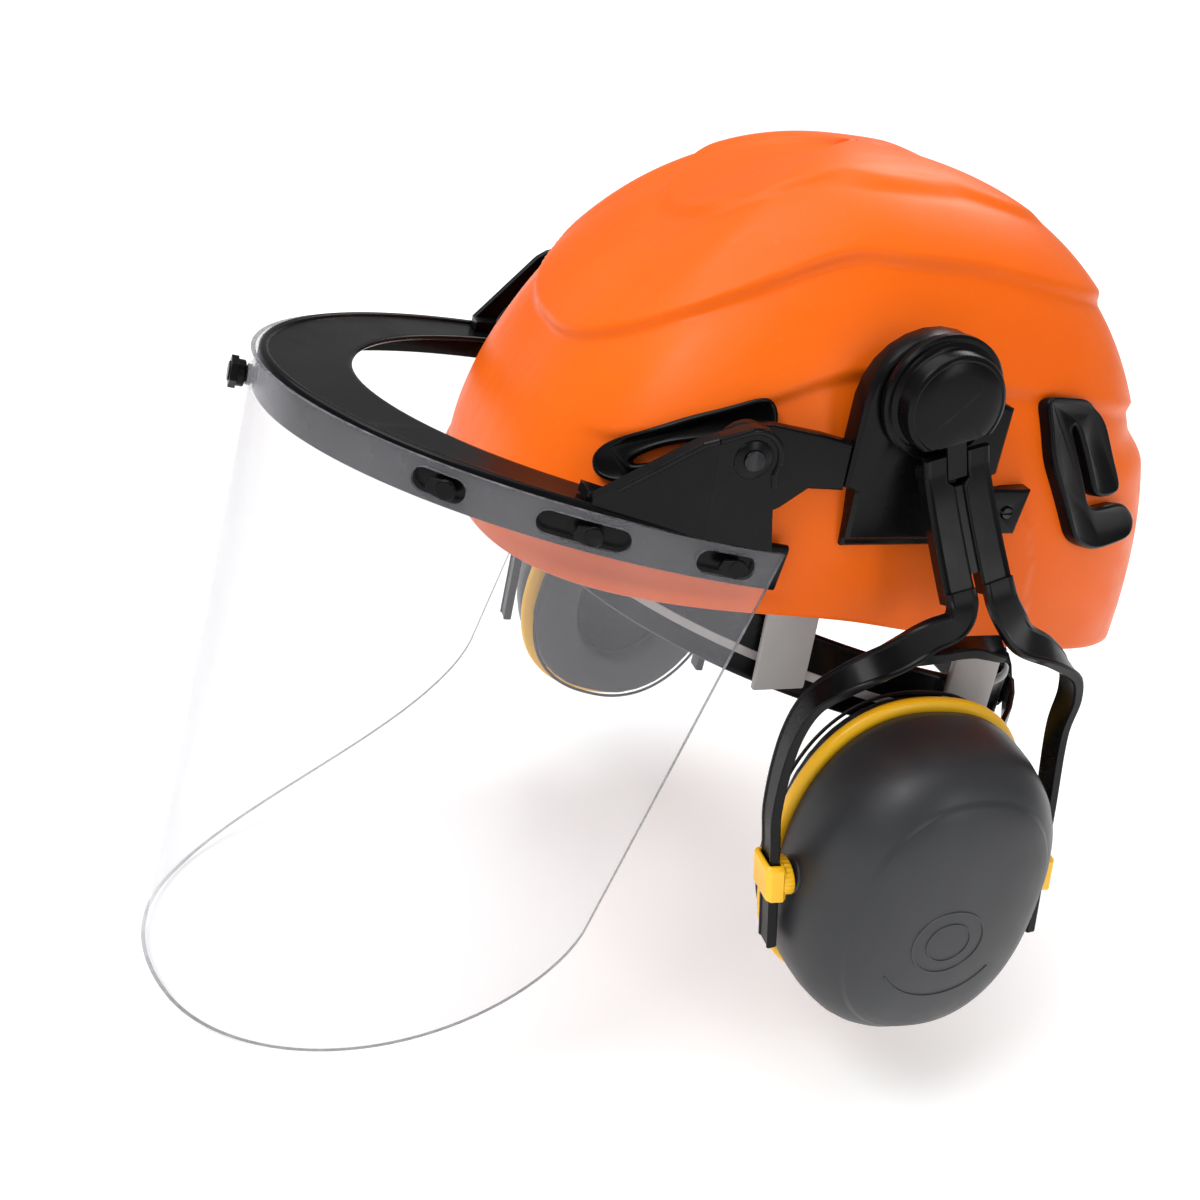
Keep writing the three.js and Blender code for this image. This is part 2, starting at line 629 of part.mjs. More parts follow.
// Flat ring between two ovals, from x0 to x1.
function ovalFrame(x0, x1, outerLength, outerHeight, innerLength, innerHeight) {
  return loft([
    cupRing(x0, outerLength, outerHeight), cupRing(x1, outerLength, outerHeight),
    cupRing(x1, innerLength, innerHeight), cupRing(x0, innerLength, innerHeight),
  ], true);
}

function trimRing() {
  return ovalFrame(CUP_PLANE_X - 2, CUP_PLANE_X + CUP_DEPTH * 0.06 - GAP, CUP_HALF_LENGTH + 2,
    CUP_HALF_HEIGHT + 2, CUP_HALF_LENGTH - 9, CUP_HALF_HEIGHT - 9);
}

function cushion() {
  const outer = CUP_PLANE_X - 2 - GAP;
  const inner = outer - CUSHION_THICK;
  const crown = (a, b) => [[outer, a - 1, b - 1], [outer - 4, a, b], [inner + 4, a, b],
    [inner, a - 5, b - 5]];
  const out = crown(CUP_HALF_LENGTH - 1, CUP_HALF_HEIGHT - 1).map(([x, a, b]) => cupRing(x, a, b));
  const hole = [[inner, 26, 38], [inner + 4, 22, 34], [outer, 22, 34]]
    .map(([x, a, b]) => cupRing(x, a, b));
  return loft([...out, ...hole], true);
}

function liner() {
  const near = CUP_PLANE_X + 10;
  return loft([cupRing(near, 35, 49), cupRing(near + 20, 34, 48), cupRing(near + 26, 28, 40)]);
}

// -------------------------------------------------------------------- visor

const carrierOrigin = point(0, CARRIER_BACK_Y, CARRIER_BACK_Z);
const carrierForward = point(0, -Math.cos(CARRIER_PITCH), Math.sin(CARRIER_PITCH));
const carrierUp = point(0, Math.sin(CARRIER_PITCH), Math.cos(CARRIER_PITCH));

// Half outline of the carrier in its own plane, from the left end round to the right end.
function carrierCurve(halfWidth, reach, tail, count = 32) {
  const curve = Array.from({ length: count + 1 }, (_, i) => {
    const t = Math.PI * i / count;
    const c = Math.cos(t);
    return [halfWidth * Math.sign(c) * Math.abs(c) ** (2 / CARRIER_POWER),
      reach * Math.sin(t) ** (2 / CARRIER_POWER)];
  });
  return tail > 0 ? [[halfWidth, -tail], ...curve, [-halfWidth, -tail]] : curve;
}

// Outline in the carrier's plane (across, forward), between two heights above it.
function carrierPrism(outline, low, high) {
  return prism(outline, -high, -low, carrierOrigin, X, carrierForward);
}

function visorCarrier() {
  const outer = carrierCurve(CARRIER_HALF_WIDTH, CARRIER_REACH, CARRIER_TAIL);
  const inner = carrierCurve(CARRIER_HALF_WIDTH - CARRIER_WALL, CARRIER_REACH - CARRIER_WALL,
    CARRIER_TAIL);
  const lip = carrierCurve(LEDGE_HALF_WIDTH, LEDGE_REACH, CARRIER_TAIL);
  const band = carrierPrism([...outer, ...inner.reverse()], -CARRIER_BAND, 0);
  const ledge = carrierPrism([...outer, ...lip.reverse()], -LEDGE_THICK, 0);
  const plates = sidePlate();
  const socket = rod(knobSeat(-14), knobSeat(4), 3.4, 14);
  const body = union(band, ledge, plates, mirrored(plates));
  return cut(body, shellEnvelope(2), socket);
}

// Point on the axis of the front clamp screw, d millimetres forward of the band's face.
function knobSeat(d) {
  return carrierOrigin.clone()
    .addScaledVector(carrierForward, CARRIER_REACH + d)
    .addScaledVector(carrierUp, -CARRIER_BAND + 5);
}

function eyeHole(x0, x1, radius) {
  return rod(point(x0, HINGE_Y, HINGE_Z), point(x1, HINGE_Y, HINGE_Z), radius, 16);
}

// Triangular plate that joins the carrier's end to the hinge pin, outside the arm.
// In front of the pin it leans in, to meet the carrier where that curves round.
const PLATE_BEND_Y = -78;
const PLATE_LEAN = 0.42;

function sidePlate() {
  const rear = sidePrism([
    [-54.5, 20.5], [-56.5, 31.5], [-58, 42], ...arc(HINGE_Y, HINGE_Z, 10, -30, 100, 8),
    [PLATE_BEND_Y, 58], [PLATE_BEND_Y, 24.6],
  ], SIDE_PLATE_X, SIDE_PLATE_X + SIDE_PLATE_THICK);
  const front = sidePrism([
    [PLATE_BEND_Y + 0.5, 58], [-82, 56], [-94, 46], [-104, 37.5], [-110, 32.5], [-110, 30.2],
    [-88, 26.8], [PLATE_BEND_Y + 0.5, 24.6],
  ], SIDE_PLATE_X, SIDE_PLATE_X + SIDE_PLATE_THICK);
  const place = front.attributes.position;
  for (let i = 0; i < place.count; i++) {
    place.setX(i, place.getX(i) - PLATE_LEAN * (PLATE_BEND_Y - place.getY(i)));
  }
  const inside = CARRIER_HALF_WIDTH - 5;
  const foot = carrierPrism([[inside, 5], [SIDE_PLATE_X + 2, 5], [SIDE_PLATE_X + 2, 24],
    [SIDE_PLATE_X - 13, 60], [inside - 16, 60], [inside, 24]], -0.5, 3);
  return cut(union(rear, front, foot), eyeHole(94, 120, HINGE_PIN_RADIUS + 0.2));
}

// Plate between the shell adapter and the visor hinge.
function visorArm() {
  const outline = [
    [BASE_FRONT_Y - 4.4, 39], [BASE_FRONT_Y - 4.4, 54.5], [-42, 57], [-59.5, 60],
    ...arc(HINGE_Y, HINGE_Z, 9.5, 70, 200, 8), [-63.5, 39], [-57.5, 31], [-52.5, 33], [-44, 39.5],
  ];
  const plate = sidePrism(outline, ARM_INNER_X, ARM_INNER_X + ARM_THICK, 0.6);
  return cut(plate, eyeHole(94, 120, HINGE_PIN_RADIUS + 0.05));
}

function hingePin() {
  const head = rod(point(SIDE_PLATE_X + SIDE_PLATE_THICK + 0.3, HINGE_Y, HINGE_Z),
    point(SIDE_PLATE_X + SIDE_PLATE_THICK + 1.8, HINGE_Y, HINGE_Z), HINGE_HEAD_RADIUS, 16);
  const shank = rod(point(ARM_INNER_X - 0.5, HINGE_Y, HINGE_Z),
    point(SIDE_PLATE_X + SIDE_PLATE_THICK + 1, HINGE_Y, HINGE_Z), HINGE_PIN_RADIUS, 16);
  return union(head, shank);
}

// Position along the carrier's outer curve, in the carrier's own plane.
function carrierArc() {
  const offset = LENS_GAP;
  const pts = carrierCurve(CARRIER_HALF_WIDTH + offset, CARRIER_REACH + offset, CARRIER_TAIL, 96)
    .map(([u, v]) => new THREE.Vector2(u, v));
  const lengths = [0];
  for (let i = 1; i < pts.length; i++) lengths.push(lengths[i - 1] + pts[i].distanceTo(pts[i - 1]));
  const total = lengths.at(-1);
  return (s) => {
    const want = THREE.MathUtils.clamp(total / 2 - s, 0, total);
    let i = 1;
    while (i < pts.length - 1 && lengths[i] < want) i++;
    const f = (want - lengths[i - 1]) / (lengths[i] - lengths[i - 1]);
    const spot = pts[i - 1].clone().lerp(pts[i], f);
    const side = pts[i].clone().sub(pts[i - 1]).normalize();
    return { spot, out: new THREE.Vector2(-side.y, side.x).negate() };
  };
}

// Clear sheet that wraps round the outside of the carrier and hangs below it.
function visorLens() {
  const along = carrierArc();
  const rows = 12;
  const columns = 26;
  const top = 1.5;
  const halfArc = (h) => {
    const f = (h - top) / (LENS_DROP - top);
    const straight = THREE.MathUtils.lerp(LENS_TOP_ARC, LENS_HALF_ARC, f);
    const q = Math.max(0, (h - LENS_DROP + LENS_CORNER_RISE) / LENS_CORNER_RISE);
    return straight - LENS_CORNER_ARC * (1 - (1 - q ** LENS_CORNER_POWER) ** (1 / LENS_CORNER_POWER));
  };
  const rings = [];
  for (let r = 0; r <= rows; r++) {
    const f = r / rows;
    const h = top + (LENS_DROP - top) * Math.min(1, Math.sin(f * Math.PI / 2));
    const half = halfArc(h);
    const ring = [];
    for (const face of [0, 1]) {
      for (let c = 0; c <= columns; c++) {
        const s = half * (face ? 1 - 2 * c / columns : 2 * c / columns - 1);
        const { spot, out } = along(s);
        const p = spot.addScaledVector(out, face ? LENS_THICK : 0);
        ring.push(carrierOrigin.clone().addScaledVector(X, p.x)
          .addScaledVector(carrierForward, p.y).addScaledVector(carrierUp, -h));
      }
    }
    rings.push(ring);
  }
  const sheet = loft(rings, false, true);
  const screwHole = rod(knobSeat(-6), knobSeat(8), 3.6, 16);
  return cut(sheet, screwHole, ...lensSlots());
}

// Slots in the clear sheet that hook over the carrier's studs, three on each side.
const SLOT_ARCS = [96, 142, 188];
const SLOT_HALF_LENGTHS = [9, 15, 10];
const SLOT_HALF_HEIGHT = 4;

function lensSpot(s, h, out) {
  const place = carrierArc()(s);
  const p = place.spot.addScaledVector(place.out, out);
  return carrierOrigin.clone().addScaledVector(X, p.x)
    .addScaledVector(carrierForward, p.y).addScaledVector(carrierUp, -h);
}

function lensSlots() {
  return [-1, 1].flatMap((side) => SLOT_ARCS.map((s, i) => {
    const centre = lensSpot(side * s, CARRIER_BAND / 2 + 0.5, -3);
    const ahead = lensSpot(side * (s - 5), CARRIER_BAND / 2 + 0.5, -3).sub(centre).normalize();
    const up = carrierUp.clone();
    const half = SLOT_HALF_LENGTHS[i] - SLOT_HALF_HEIGHT;
    const ends = [...arc(half, 0, SLOT_HALF_HEIGHT, -90, 90, 6),
      ...arc(-half, 0, SLOT_HALF_HEIGHT, 90, 270, 6)];
    const normal = new THREE.Vector3().crossVectors(ahead, up);
    const outward = normal.dot(point(side, 0, 0)) > 0 ? 1 : -1;
    const [low, high] = outward > 0 ? [1.5, 9] : [-9, -1.5];
    return prism(ends, low, high, centre, ahead, up);
  }));
}

// Stud on the carrier that a slot of the clear sheet hooks over.
function lensStud(side, i) {
  const s = side * (SLOT_ARCS[i] + 3);
  const root = lensSpot(s, CARRIER_BAND / 2 + 0.5, -LENS_GAP + 0.3);
  const neck = lensSpot(s, CARRIER_BAND / 2 + 0.5, LENS_THICK + 0.8);
  const core = lensSpot(s, CARRIER_BAND / 2 + 0.5, LENS_THICK + 1.6);
  const cap = lensSpot(s, CARRIER_BAND / 2 + 0.5, LENS_THICK + 2.3);
  return union(rod(root, core, 2.4, 16), rod(neck, cap, 3.4, 16));
}

// Thumb screw at the front centre that clamps the clear sheet to the carrier.
function clampKnob() {
  const face = LENS_GAP + LENS_THICK + 0.5;
  const collar = rod(knobSeat(face), knobSeat(face + 3), 4.6, 16);
  const grip = rod(knobSeat(face + 2.5), knobSeat(face + CLAMP_GRIP), 5.6, 6);
  const shank = rod(knobSeat(-8), knobSeat(face + 1), 2.9, 16);
  return union(collar, grip, shank);
}

// --------------------------------------------------------------- suspension

const bandLow = (y) => BAND_LOW_Z - BAND_SLOPE * (y - BAND_CENTRE_Y);

function bandPoint(azimuth, out, up) {
  const power = 2 / 2.2;
  const s = Math.sin(azimuth);
  const c = Math.cos(azimuth);
  const y = BAND_CENTRE_Y - (BAND_HALF_LENGTH + out) * Math.sign(c) * Math.abs(c) ** power;
  const x = (BAND_HALF_WIDTH + out) * Math.sign(s) * Math.abs(s) ** power;
  return point(x, y, bandLow(y) + up);
}

// Half-width of the band's outer face at a fore-aft position.
function bandX(y, out) {
  const share = Math.abs((y - BAND_CENTRE_Y) / (BAND_HALF_LENGTH + out));
  return (BAND_HALF_WIDTH + out) * (1 - share ** 2.2) ** (1 / 2.2);
}

// Open band round the head from one azimuth to another.
function bandStrip(from, to, innerOut, outerOut, low, high, steps) {
  const rings = Array.from({ length: steps + 1 }, (_, i) => {
    const azimuth = (from + (to - from) * i / steps) * DEG;
    return [[innerOut, low], [outerOut, low], [outerOut, high], [innerOut, high]]
      .map(([out, up]) => bandPoint(azimuth, out, up));
  });
  return loft(rings);
}

const headband = () => bandStrip(-152, 152, 0, BAND_THICK, 0, BAND_HEIGHT, 32);
const browPad = () => bandStrip(-72, 72, -6.5, -GAP, 1, BAND_HEIGHT - 1, 16);

// Hanger that hooks in the shell's rim and carries the headband.
function hanger(y, tuck) {
  const widest = y < BAND_CENTRE_Y ? y + 10 : y - 10;
  const outer = bandX(widest, BAND_THICK) + 0.8;
  const low = bandLow(y) + 3;
  const rim = RIM_SIDE_Z - 4;
  const wall = SHELL_HALF_WIDTH - SHELL_WALL - tuck;
  const outline = [[outer, low], [outer + 2.4, low], [outer + 2.4, rim], [wall, rim + 12],
    [wall, rim + 24], [wall - 2.4, rim + 24], [wall - 2.4, rim + 13], [outer, rim + 2]];
  return prism(outline.map(([x, z]) => [x, z]), -(y + 10), -(y - 10), ORIGIN, X, Z, 0.5);
}

// Textile strap over the crown, from a front hanger to the rear hanger across from it.
const HANGER_FRONT_Y = -29;
const HANGER_REAR_Y = 52;
const STRAP_TOP_Z = 94;

function crownStrap(side, raise) {
  const top = STRAP_TOP_Z + raise;
  const path = [
    point(side * 85, HANGER_FRONT_Y, 8), point(side * 76, -26, 42), point(side * 52, -18, 75),
    point(0, 6, top), point(-side * 52, 34, 72), point(-side * 73, 46, 40),
    point(-side * 78, HANGER_REAR_Y - 1, 13)];
  const curve = new THREE.CatmullRomCurve3(path, false, 'centripetal');
  const middle = point(0, 8, 0);
  const rings = Array.from({ length: 21 }, (_, i) => {
    const centre = curve.getPointAt(i / 20);
    const tangent = curve.getTangentAt(i / 20);
    const out = centre.clone().sub(middle);
    const across = new THREE.Vector3().crossVectors(tangent, out).normalize();
    out.crossVectors(across, tangent).normalize();
    return [[-1, -1], [1, -1], [1, 1], [-1, 1]].map(([a, b]) => centre.clone()
      .addScaledVector(across, a * 9).addScaledVector(out, b * 0.7));
  });
  return loft(rings);
}

function crownPad() {
  const rings = [[85.5, 20], [85.5, 30], [88, 33], [90, 30], [91, 14]]
    .map(([z, r]) => Array.from({ length: 20 }, (_, i) => {
      const t = 2 * Math.PI * i / 20;
      const sag = 0.0062 * r * r;
      return point(r * Math.cos(t), 6 + 1.15 * r * Math.sin(t), z - sag);
    }));
  return loft(rings);
}

// Size adjuster at the nape: two toothed straps, a pinion between them and a knob.
const NAPE_Z = -84;
const NAPE_INNER_Y = 99;
const PINION_TEETH = 12;
const PINION_RADIUS = 4.8;        // pitch circle
const TOOTH_PITCH = 2 * Math.PI * PINION_RADIUS / PINION_TEETH;
const TOOTH_RISE = 0.65;

function napeHousing() {
  const outer = [...arc(17, 0, 16, -60, 60, 6), ...arc(-17, 0, 16, 120, 240, 6)];
  const body = prism(outer, -(NAPE_INNER_Y + 11), -NAPE_INNER_Y, point(0, 0, NAPE_Z), X, Z, 1);
  const tunnel = box(-50, 50, NAPE_INNER_Y + 2, NAPE_INNER_Y + 8.5, NAPE_Z - 10.2, NAPE_Z + 10.2);
  const bore = rod(point(0, NAPE_INNER_Y + 6, NAPE_Z), point(0, NAPE_INNER_Y + 14, NAPE_Z), 3.1, 14);
  return cut(body, tunnel, bore);
}

// Strap with its rack on one side: side +1 is the left strap, above the pinion.
// Inside the housing it is a straight rack, and outside it wraps towards the headband.
function sizeStrap(side) {
  const rackY = NAPE_INNER_Y + 5.2;
  const high = 9.2;
  const root = PINION_RADIUS + TOOTH_RISE;
  const plan = [[-13, 0, root, high], [30, 0, root, high], [35, 0, root, high],
    [39, -0.6, -4, high], [47, -5, -7, 8], [57, -12.5, -7, 8], [66, -21.5, -6, 7]];
  const rings = plan.map(([u, back, low, top], i) => {
    const before = plan[Math.max(0, i - 1)];
    const after = plan[Math.min(plan.length - 1, i + 1)];
    const run = new THREE.Vector2(after[0] - before[0], after[1] - before[1]).normalize();
    const [a, b] = side > 0 ? [low, top] : [-top, -low];
    return [[-1, a], [1, a], [1, b], [-1, b]].map(([face, rise]) => point(
      side * (u - face * run.y), rackY + back + face * run.x, NAPE_Z + rise));
  });
  const outline = [];
  for (let k = -4; k < 4; k++) {
    const c = (k + 0.5) * TOOTH_PITCH;
    outline.push([c - 0.75, root + 0.4], [c - 0.35, PINION_RADIUS - TOOTH_RISE],
      [c + 0.35, PINION_RADIUS - TOOTH_RISE], [c + 0.75, root + 0.4]);
  }
  const teeth = [...outline, [12, high - 1], [-12, high - 1]];
  const rack = prism(teeth.map(([u, v]) => [side * u, side * v]), -(rackY + 1), -(rackY - 1),
    point(0, 0, NAPE_Z), X, Z);
  return union(loft(rings), rack);
}

function pinion() {
  const outline = [];
  for (let k = 0; k < PINION_TEETH; k++) {
    const a = 360 * k / PINION_TEETH + 90;
    for (const [turn, radius] of [[-9, -TOOTH_RISE - 0.1], [-4.2, TOOTH_RISE], [4.2, TOOTH_RISE],
      [9, -TOOTH_RISE - 0.1]]) {
      const r = PINION_RADIUS + radius;
      outline.push([r * Math.cos((a + turn) * DEG), r * Math.sin((a + turn) * DEG)]);
    }
  }
  const gear = prism(outline, -(NAPE_INNER_Y + 7.5), -(NAPE_INNER_Y + 3), point(0, 0, NAPE_Z), X, Z);
  const shaft = rod(point(0, NAPE_INNER_Y + 5, NAPE_Z), point(0, NAPE_INNER_Y + 13, NAPE_Z), 2.9, 14);
  return union(gear, shaft);
}

function napeKnob() {
  const lobes = Array.from({ length: 36 }, (_, i) => {
    const a = 10 * i * DEG;
    const r = 13 + 0.7 * Math.cos(12 * a);
    return [r * Math.cos(a), r * Math.sin(a)];
  });
  const from = NAPE_INNER_Y + 11 + GAP;
  const body = prism(lobes, -(from + 9), -from, point(0, 0, NAPE_Z), X, Z, 0.8);
  const bore = rod(point(0, from - 2, NAPE_Z), point(0, from + 2.2, NAPE_Z), 2.95, 14);
  return cut(body, bore);
}

// ----------------------------------------------------------------- assembly

function finishMaterial(color, roughness, metalness = 0, opacity = 1) {
  return new THREE.MeshStandardMaterial({
    color, roughness, metalness, opacity, transparent: opacity < 1,
  });
}

const ORANGE = () => finishMaterial(0xf0701c, 0.38);
const BLACK = () => finishMaterial(0x17181a, 0.45);
const CHARCOAL = () => finishMaterial(0x303236, 0.55);
const YELLOW = () => finishMaterial(0xf7a70f, 0.4);
const GREY = () => finishMaterial(0x9a9594, 0.5);
const FABRIC = () => finishMaterial(0x1c1c1e, 0.95);
const FOAM = () => finishMaterial(0x2b2b2d, 1.0);
const STEEL = () => finishMaterial(0x26272a, 0.4, 1);   // blackened
const CLEAR = () => finishMaterial(0xf2f6f8, 0.05, 0, 0.2);

function mesh(name, geometry, material) {
  const item = new THREE.Mesh(geometry, material);
  item.name = name;
  return item;
}

function pair(group, name, geometry, material) {
  group.add(mesh(`${name}_left`, geometry, material()));
  group.add(mesh(`${name}_right`, mirrored(geometry), material()));
}

// The muff on the right is worn swung a little further forward than the left one, with
// its cup higher on the yoke.
const RIGHT_SWING = -14 * DEG;
const RIGHT_RAISE = 13;
const RAISED = ['front_slider', 'rear_slider', 'cup', 'trim_ring', 'ear_cushion', 'cup_liner'];

function addMuffs(group) {
  const pieces = [
    ['turret', turret(), BLACK], ['tilt_pin', tiltPinRod(), STEEL], ['yoke', yoke(), BLACK],
    ['front_slider', slider(frontKnob, -1), YELLOW], ['rear_slider', slider(rearKnob, 1), YELLOW],
    ['cup', cupShell(), CHARCOAL], ['trim_ring', trimRing(), YELLOW],
    ['ear_cushion', cushion(), FABRIC], ['cup_liner', liner(), FOAM],
  ];
  const right = new THREE.Group();
  right.position.set(0, HUB_Y, HUB_Z);
  right.rotation.x = RIGHT_SWING;
  for (const [name, geometry, material] of pieces) {
    group.add(mesh(`${name}_left`, geometry, material()));
    const other = mirrored(geometry);
    if (RAISED.includes(name)) other.translate(0, -armDown.y * RIGHT_RAISE, -armDown.z * RIGHT_RAISE);
    other.translate(0, -HUB_Y, -HUB_Z);
    right.add(mesh(`${name}_right`, other, material()));
  }
  group.add(right);
}

const hardHat = new THREE.Group();
hardHat.name = 'hard_hat';
hardHat.add(mesh('shell', shell(), ORANGE()));
pair(hardHat, 'front_lamp_clip', lampClip(FRONT_CLIP), BLACK);
pair(hardHat, 'rear_lamp_clip', lampClip(REAR_CLIP), BLACK);
pair(hardHat, 'hub_housing', hubHousing(), BLACK);
pair(hardHat, 'screw_plate', screwPlate(), BLACK);
pair(hardHat, 'plate_screw', plateScrew(), STEEL);
pair(hardHat, 'visor_arm', visorArm(), BLACK);
pair(hardHat, 'hinge_pin', hingePin(), STEEL);
hardHat.add(mesh('visor_carrier', visorCarrier(), BLACK()));
hardHat.add(mesh('visor_lens', visorLens(), CLEAR()));
hardHat.add(mesh('clamp_knob', clampKnob(), BLACK()));
for (const [side, word] of [[1, 'left'], [-1, 'right']]) {
  SLOT_ARCS.forEach((_, i) => {
    hardHat.add(mesh(`lens_stud_${i + 1}_${word}`, lensStud(side, i), BLACK()));
  });
}
addMuffs(hardHat);
hardHat.add(mesh('headband', headband(), BLACK()));
hardHat.add(mesh('brow_pad', browPad(), FABRIC()));
pair(hardHat, 'front_hanger', hanger(HANGER_FRONT_Y, 3), GREY);
pair(hardHat, 'rear_hanger', hanger(HANGER_REAR_Y, 9), GREY);
hardHat.add(mesh('crown_strap_low', crownStrap(1, 0), FABRIC()));
hardHat.add(mesh('crown_strap_high', crownStrap(-1, 4), FABRIC()));
hardHat.add(mesh('crown_pad', crownPad(), FABRIC()));
hardHat.add(mesh('nape_housing', napeHousing(), BLACK()));
for (const [side, word] of [[1, 'left'], [-1, 'right']]) {
  hardHat.add(mesh(`size_strap_${word}`, sizeStrap(side), BLACK()));
}
hardHat.add(mesh('nape_pinion', pinion(), GREY()));
hardHat.add(mesh('nape_knob', napeKnob(), BLACK()));

export default hardHat;
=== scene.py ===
"""Industrial hard hat with a flip-up face shield and cap-mounted ear muffs.

Every length below is in millimetres and is scaled to metres when a mesh is made.
+Z is up, the wearer looks along -Y, and +X is the wearer's left.
"""
from math import atan2, cos, degrees, pi, radians, sin

import bmesh
import bpy
from mathutils import Matrix, Vector
from mathutils.bvhtree import BVHTree


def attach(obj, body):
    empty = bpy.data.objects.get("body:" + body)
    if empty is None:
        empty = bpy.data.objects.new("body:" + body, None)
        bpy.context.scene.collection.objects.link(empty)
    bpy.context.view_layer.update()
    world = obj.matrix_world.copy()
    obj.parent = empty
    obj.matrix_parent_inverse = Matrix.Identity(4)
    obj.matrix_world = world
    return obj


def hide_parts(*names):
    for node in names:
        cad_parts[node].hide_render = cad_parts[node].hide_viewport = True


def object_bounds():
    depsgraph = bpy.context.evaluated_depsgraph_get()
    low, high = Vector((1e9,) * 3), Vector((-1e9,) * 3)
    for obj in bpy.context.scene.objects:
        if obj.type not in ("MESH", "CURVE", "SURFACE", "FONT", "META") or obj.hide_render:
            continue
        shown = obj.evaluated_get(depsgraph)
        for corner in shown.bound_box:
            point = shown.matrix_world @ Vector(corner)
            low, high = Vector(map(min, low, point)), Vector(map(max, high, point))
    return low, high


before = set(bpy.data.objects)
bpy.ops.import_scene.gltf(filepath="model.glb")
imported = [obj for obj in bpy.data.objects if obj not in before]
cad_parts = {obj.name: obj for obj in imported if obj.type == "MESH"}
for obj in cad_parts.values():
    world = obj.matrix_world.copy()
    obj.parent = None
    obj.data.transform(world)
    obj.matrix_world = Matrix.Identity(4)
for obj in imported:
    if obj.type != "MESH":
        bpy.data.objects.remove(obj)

MM = 0.001
GAP = 0.35                        # clearance between neighbouring pieces
CAD_BOX = [list(corner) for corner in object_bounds()]
scene = bpy.context.scene

# ------------------------------------------------------------------ dimensions

SHELL_HALF_WIDTH = 99
SHELL_FRONT = 131
SHELL_REAR = 129
SHELL_TOP = 121
SHELL_WALL = 2.6
PLAN_POWER = 2.9
RIM_FRONT_Z = -5
RIM_SIDE_Z = -12
RIM_REAR_Z = -41
PROFILE_SIDE = 2.5
PROFILE_FRONT = 1.65
PROFILE_REAR = 2.3
REAR_BULGE = 4.5
REAR_BULGE_Z = 40
TIER_STEP = (2.4, 3.0, 2.0)
TIER_WIDTH = 0.022

HUB_Y = -7
HUB_Z = 71
HOUSING_FACE_X = 102.5
DISC_RADIUS = 16.3
DISC_FACE_X = 115.5
TURRET_RADIUS = 20

YOKE_LEAN = radians(9.5)
STEM_LEAN = radians(17)
STEM_WIDTH = 22
STEM_THICK = 6.5
STRAP_THICK = 3.8
ARM_WIDTH = 9
TILT_PIN_X = 109.5
TILT_PIN_DROP = 21
FRONT_KNOB = Vector((113, -33, -103.5))
REAR_KNOB = Vector((113, 78.7, -110.5))
CUP_PLANE_X = 97.6
CUP_HALF_LENGTH = 48
CUP_HALF_HEIGHT = 62
CUP_DEPTH = 50
CUP_WALL = 3
CUP_BOSS_REACH = 48.3             # from the cup's middle to the face of its side boss
CUSHION_THICK = 10.5
RIGHT_SWING = radians(-14)
RIGHT_RAISE = 13

CARRIER_PITCH = radians(9.8)
CARRIER_ORIGIN = Vector((0, -52, 20.3))
CARRIER_HALF_WIDTH = 102
CARRIER_REACH = 152
CARRIER_POWER = 1.96
CARRIER_TAIL = 6
CARRIER_WALL = 3
CARRIER_BAND = 15.4
LEDGE_HALF_WIDTH = 84
LEDGE_REACH = 120
LEDGE_THICK = 3
HINGE_Y = -66.5
HINGE_Z = 51
SIDE_PLATE_X = 102.6
SIDE_PLATE_THICK = 4
LENS_GAP = 1
LENS_THICK = 1.6
LENS_TOP = 1.5                    # from the carrier's top down to the sheet's upper edge
LENS_DROP = 254
LENS_HALF_ARC = 172
LENS_TOP_ARC = 206
LENS_CORNER_RISE = 98
LENS_CORNER_ARC = 135
LENS_CORNER_POWER = 1.7
SLOT_ARCS = (96, 142, 188)
SLOT_HALF_LENGTHS = (9, 15, 10)
SLOT_HALF_HEIGHT = 4
SLOT_DROP = CARRIER_BAND / 2 + 0.5

BAND_SLOPE = 0.35
BAND_HALF_WIDTH = 79.5
BAND_HALF_LENGTH = 103
BAND_CENTRE_Y = 4
BAND_LOW_Z = -60
BAND_HEIGHT = 27
BAND_THICK = 2

# ---------------------------------------------------------------------- camera

CAMERA_PLACE = Vector((440.1, -228.3, 188.2))
CAMERA_AZIMUTH = radians(70.18)
CAMERA_ELEVATION = radians(27.33)
CAMERA_ROLL = radians(8.04)
CAMERA_LENS = 39.66


def make_camera():
    back = Vector((sin(CAMERA_AZIMUTH) * cos(CAMERA_ELEVATION),
                   -cos(CAMERA_AZIMUTH) * cos(CAMERA_ELEVATION), sin(CAMERA_ELEVATION)))
    level = Vector((cos(CAMERA_AZIMUTH), sin(CAMERA_AZIMUTH), 0))
    rise = back.cross(level)
    right = level * cos(CAMERA_ROLL) + rise * sin(CAMERA_ROLL)
    up = rise * cos(CAMERA_ROLL) - level * sin(CAMERA_ROLL)
    data = bpy.data.cameras.new("camera")
    data.sensor_width = 36
    data.lens = CAMERA_LENS
    data.clip_start = 0.01
    camera = bpy.data.objects.new("camera", data)
    scene.collection.objects.link(camera)
    camera.matrix_world = Matrix.Translation(CAMERA_PLACE * MM) @ Matrix(
        (right, up, back)).transposed().to_4x4()
    scene.camera = camera


make_camera()

# --------------------------------------------------------------------- helpers


def clamp(x, low=0.0, high=1.0):
    return max(low, min(high, x))


def ramp(x, x0, x1):
    t = clamp((x - x0) / (x1 - x0))
    return t * t * (3 - 2 * t)


def mix(a, b, t):
    return a + (b - a) * t


def power_of(value, exponent):
    return (1 if value >= 0 else -1) * abs(value) ** exponent


def along(values, s):
    """Value at share s of a list of equally spaced values."""
    at = clamp(s) * (len(values) - 1)
    low = min(int(at), len(values) - 2)
    return mix(values[low], values[low + 1], at - low)


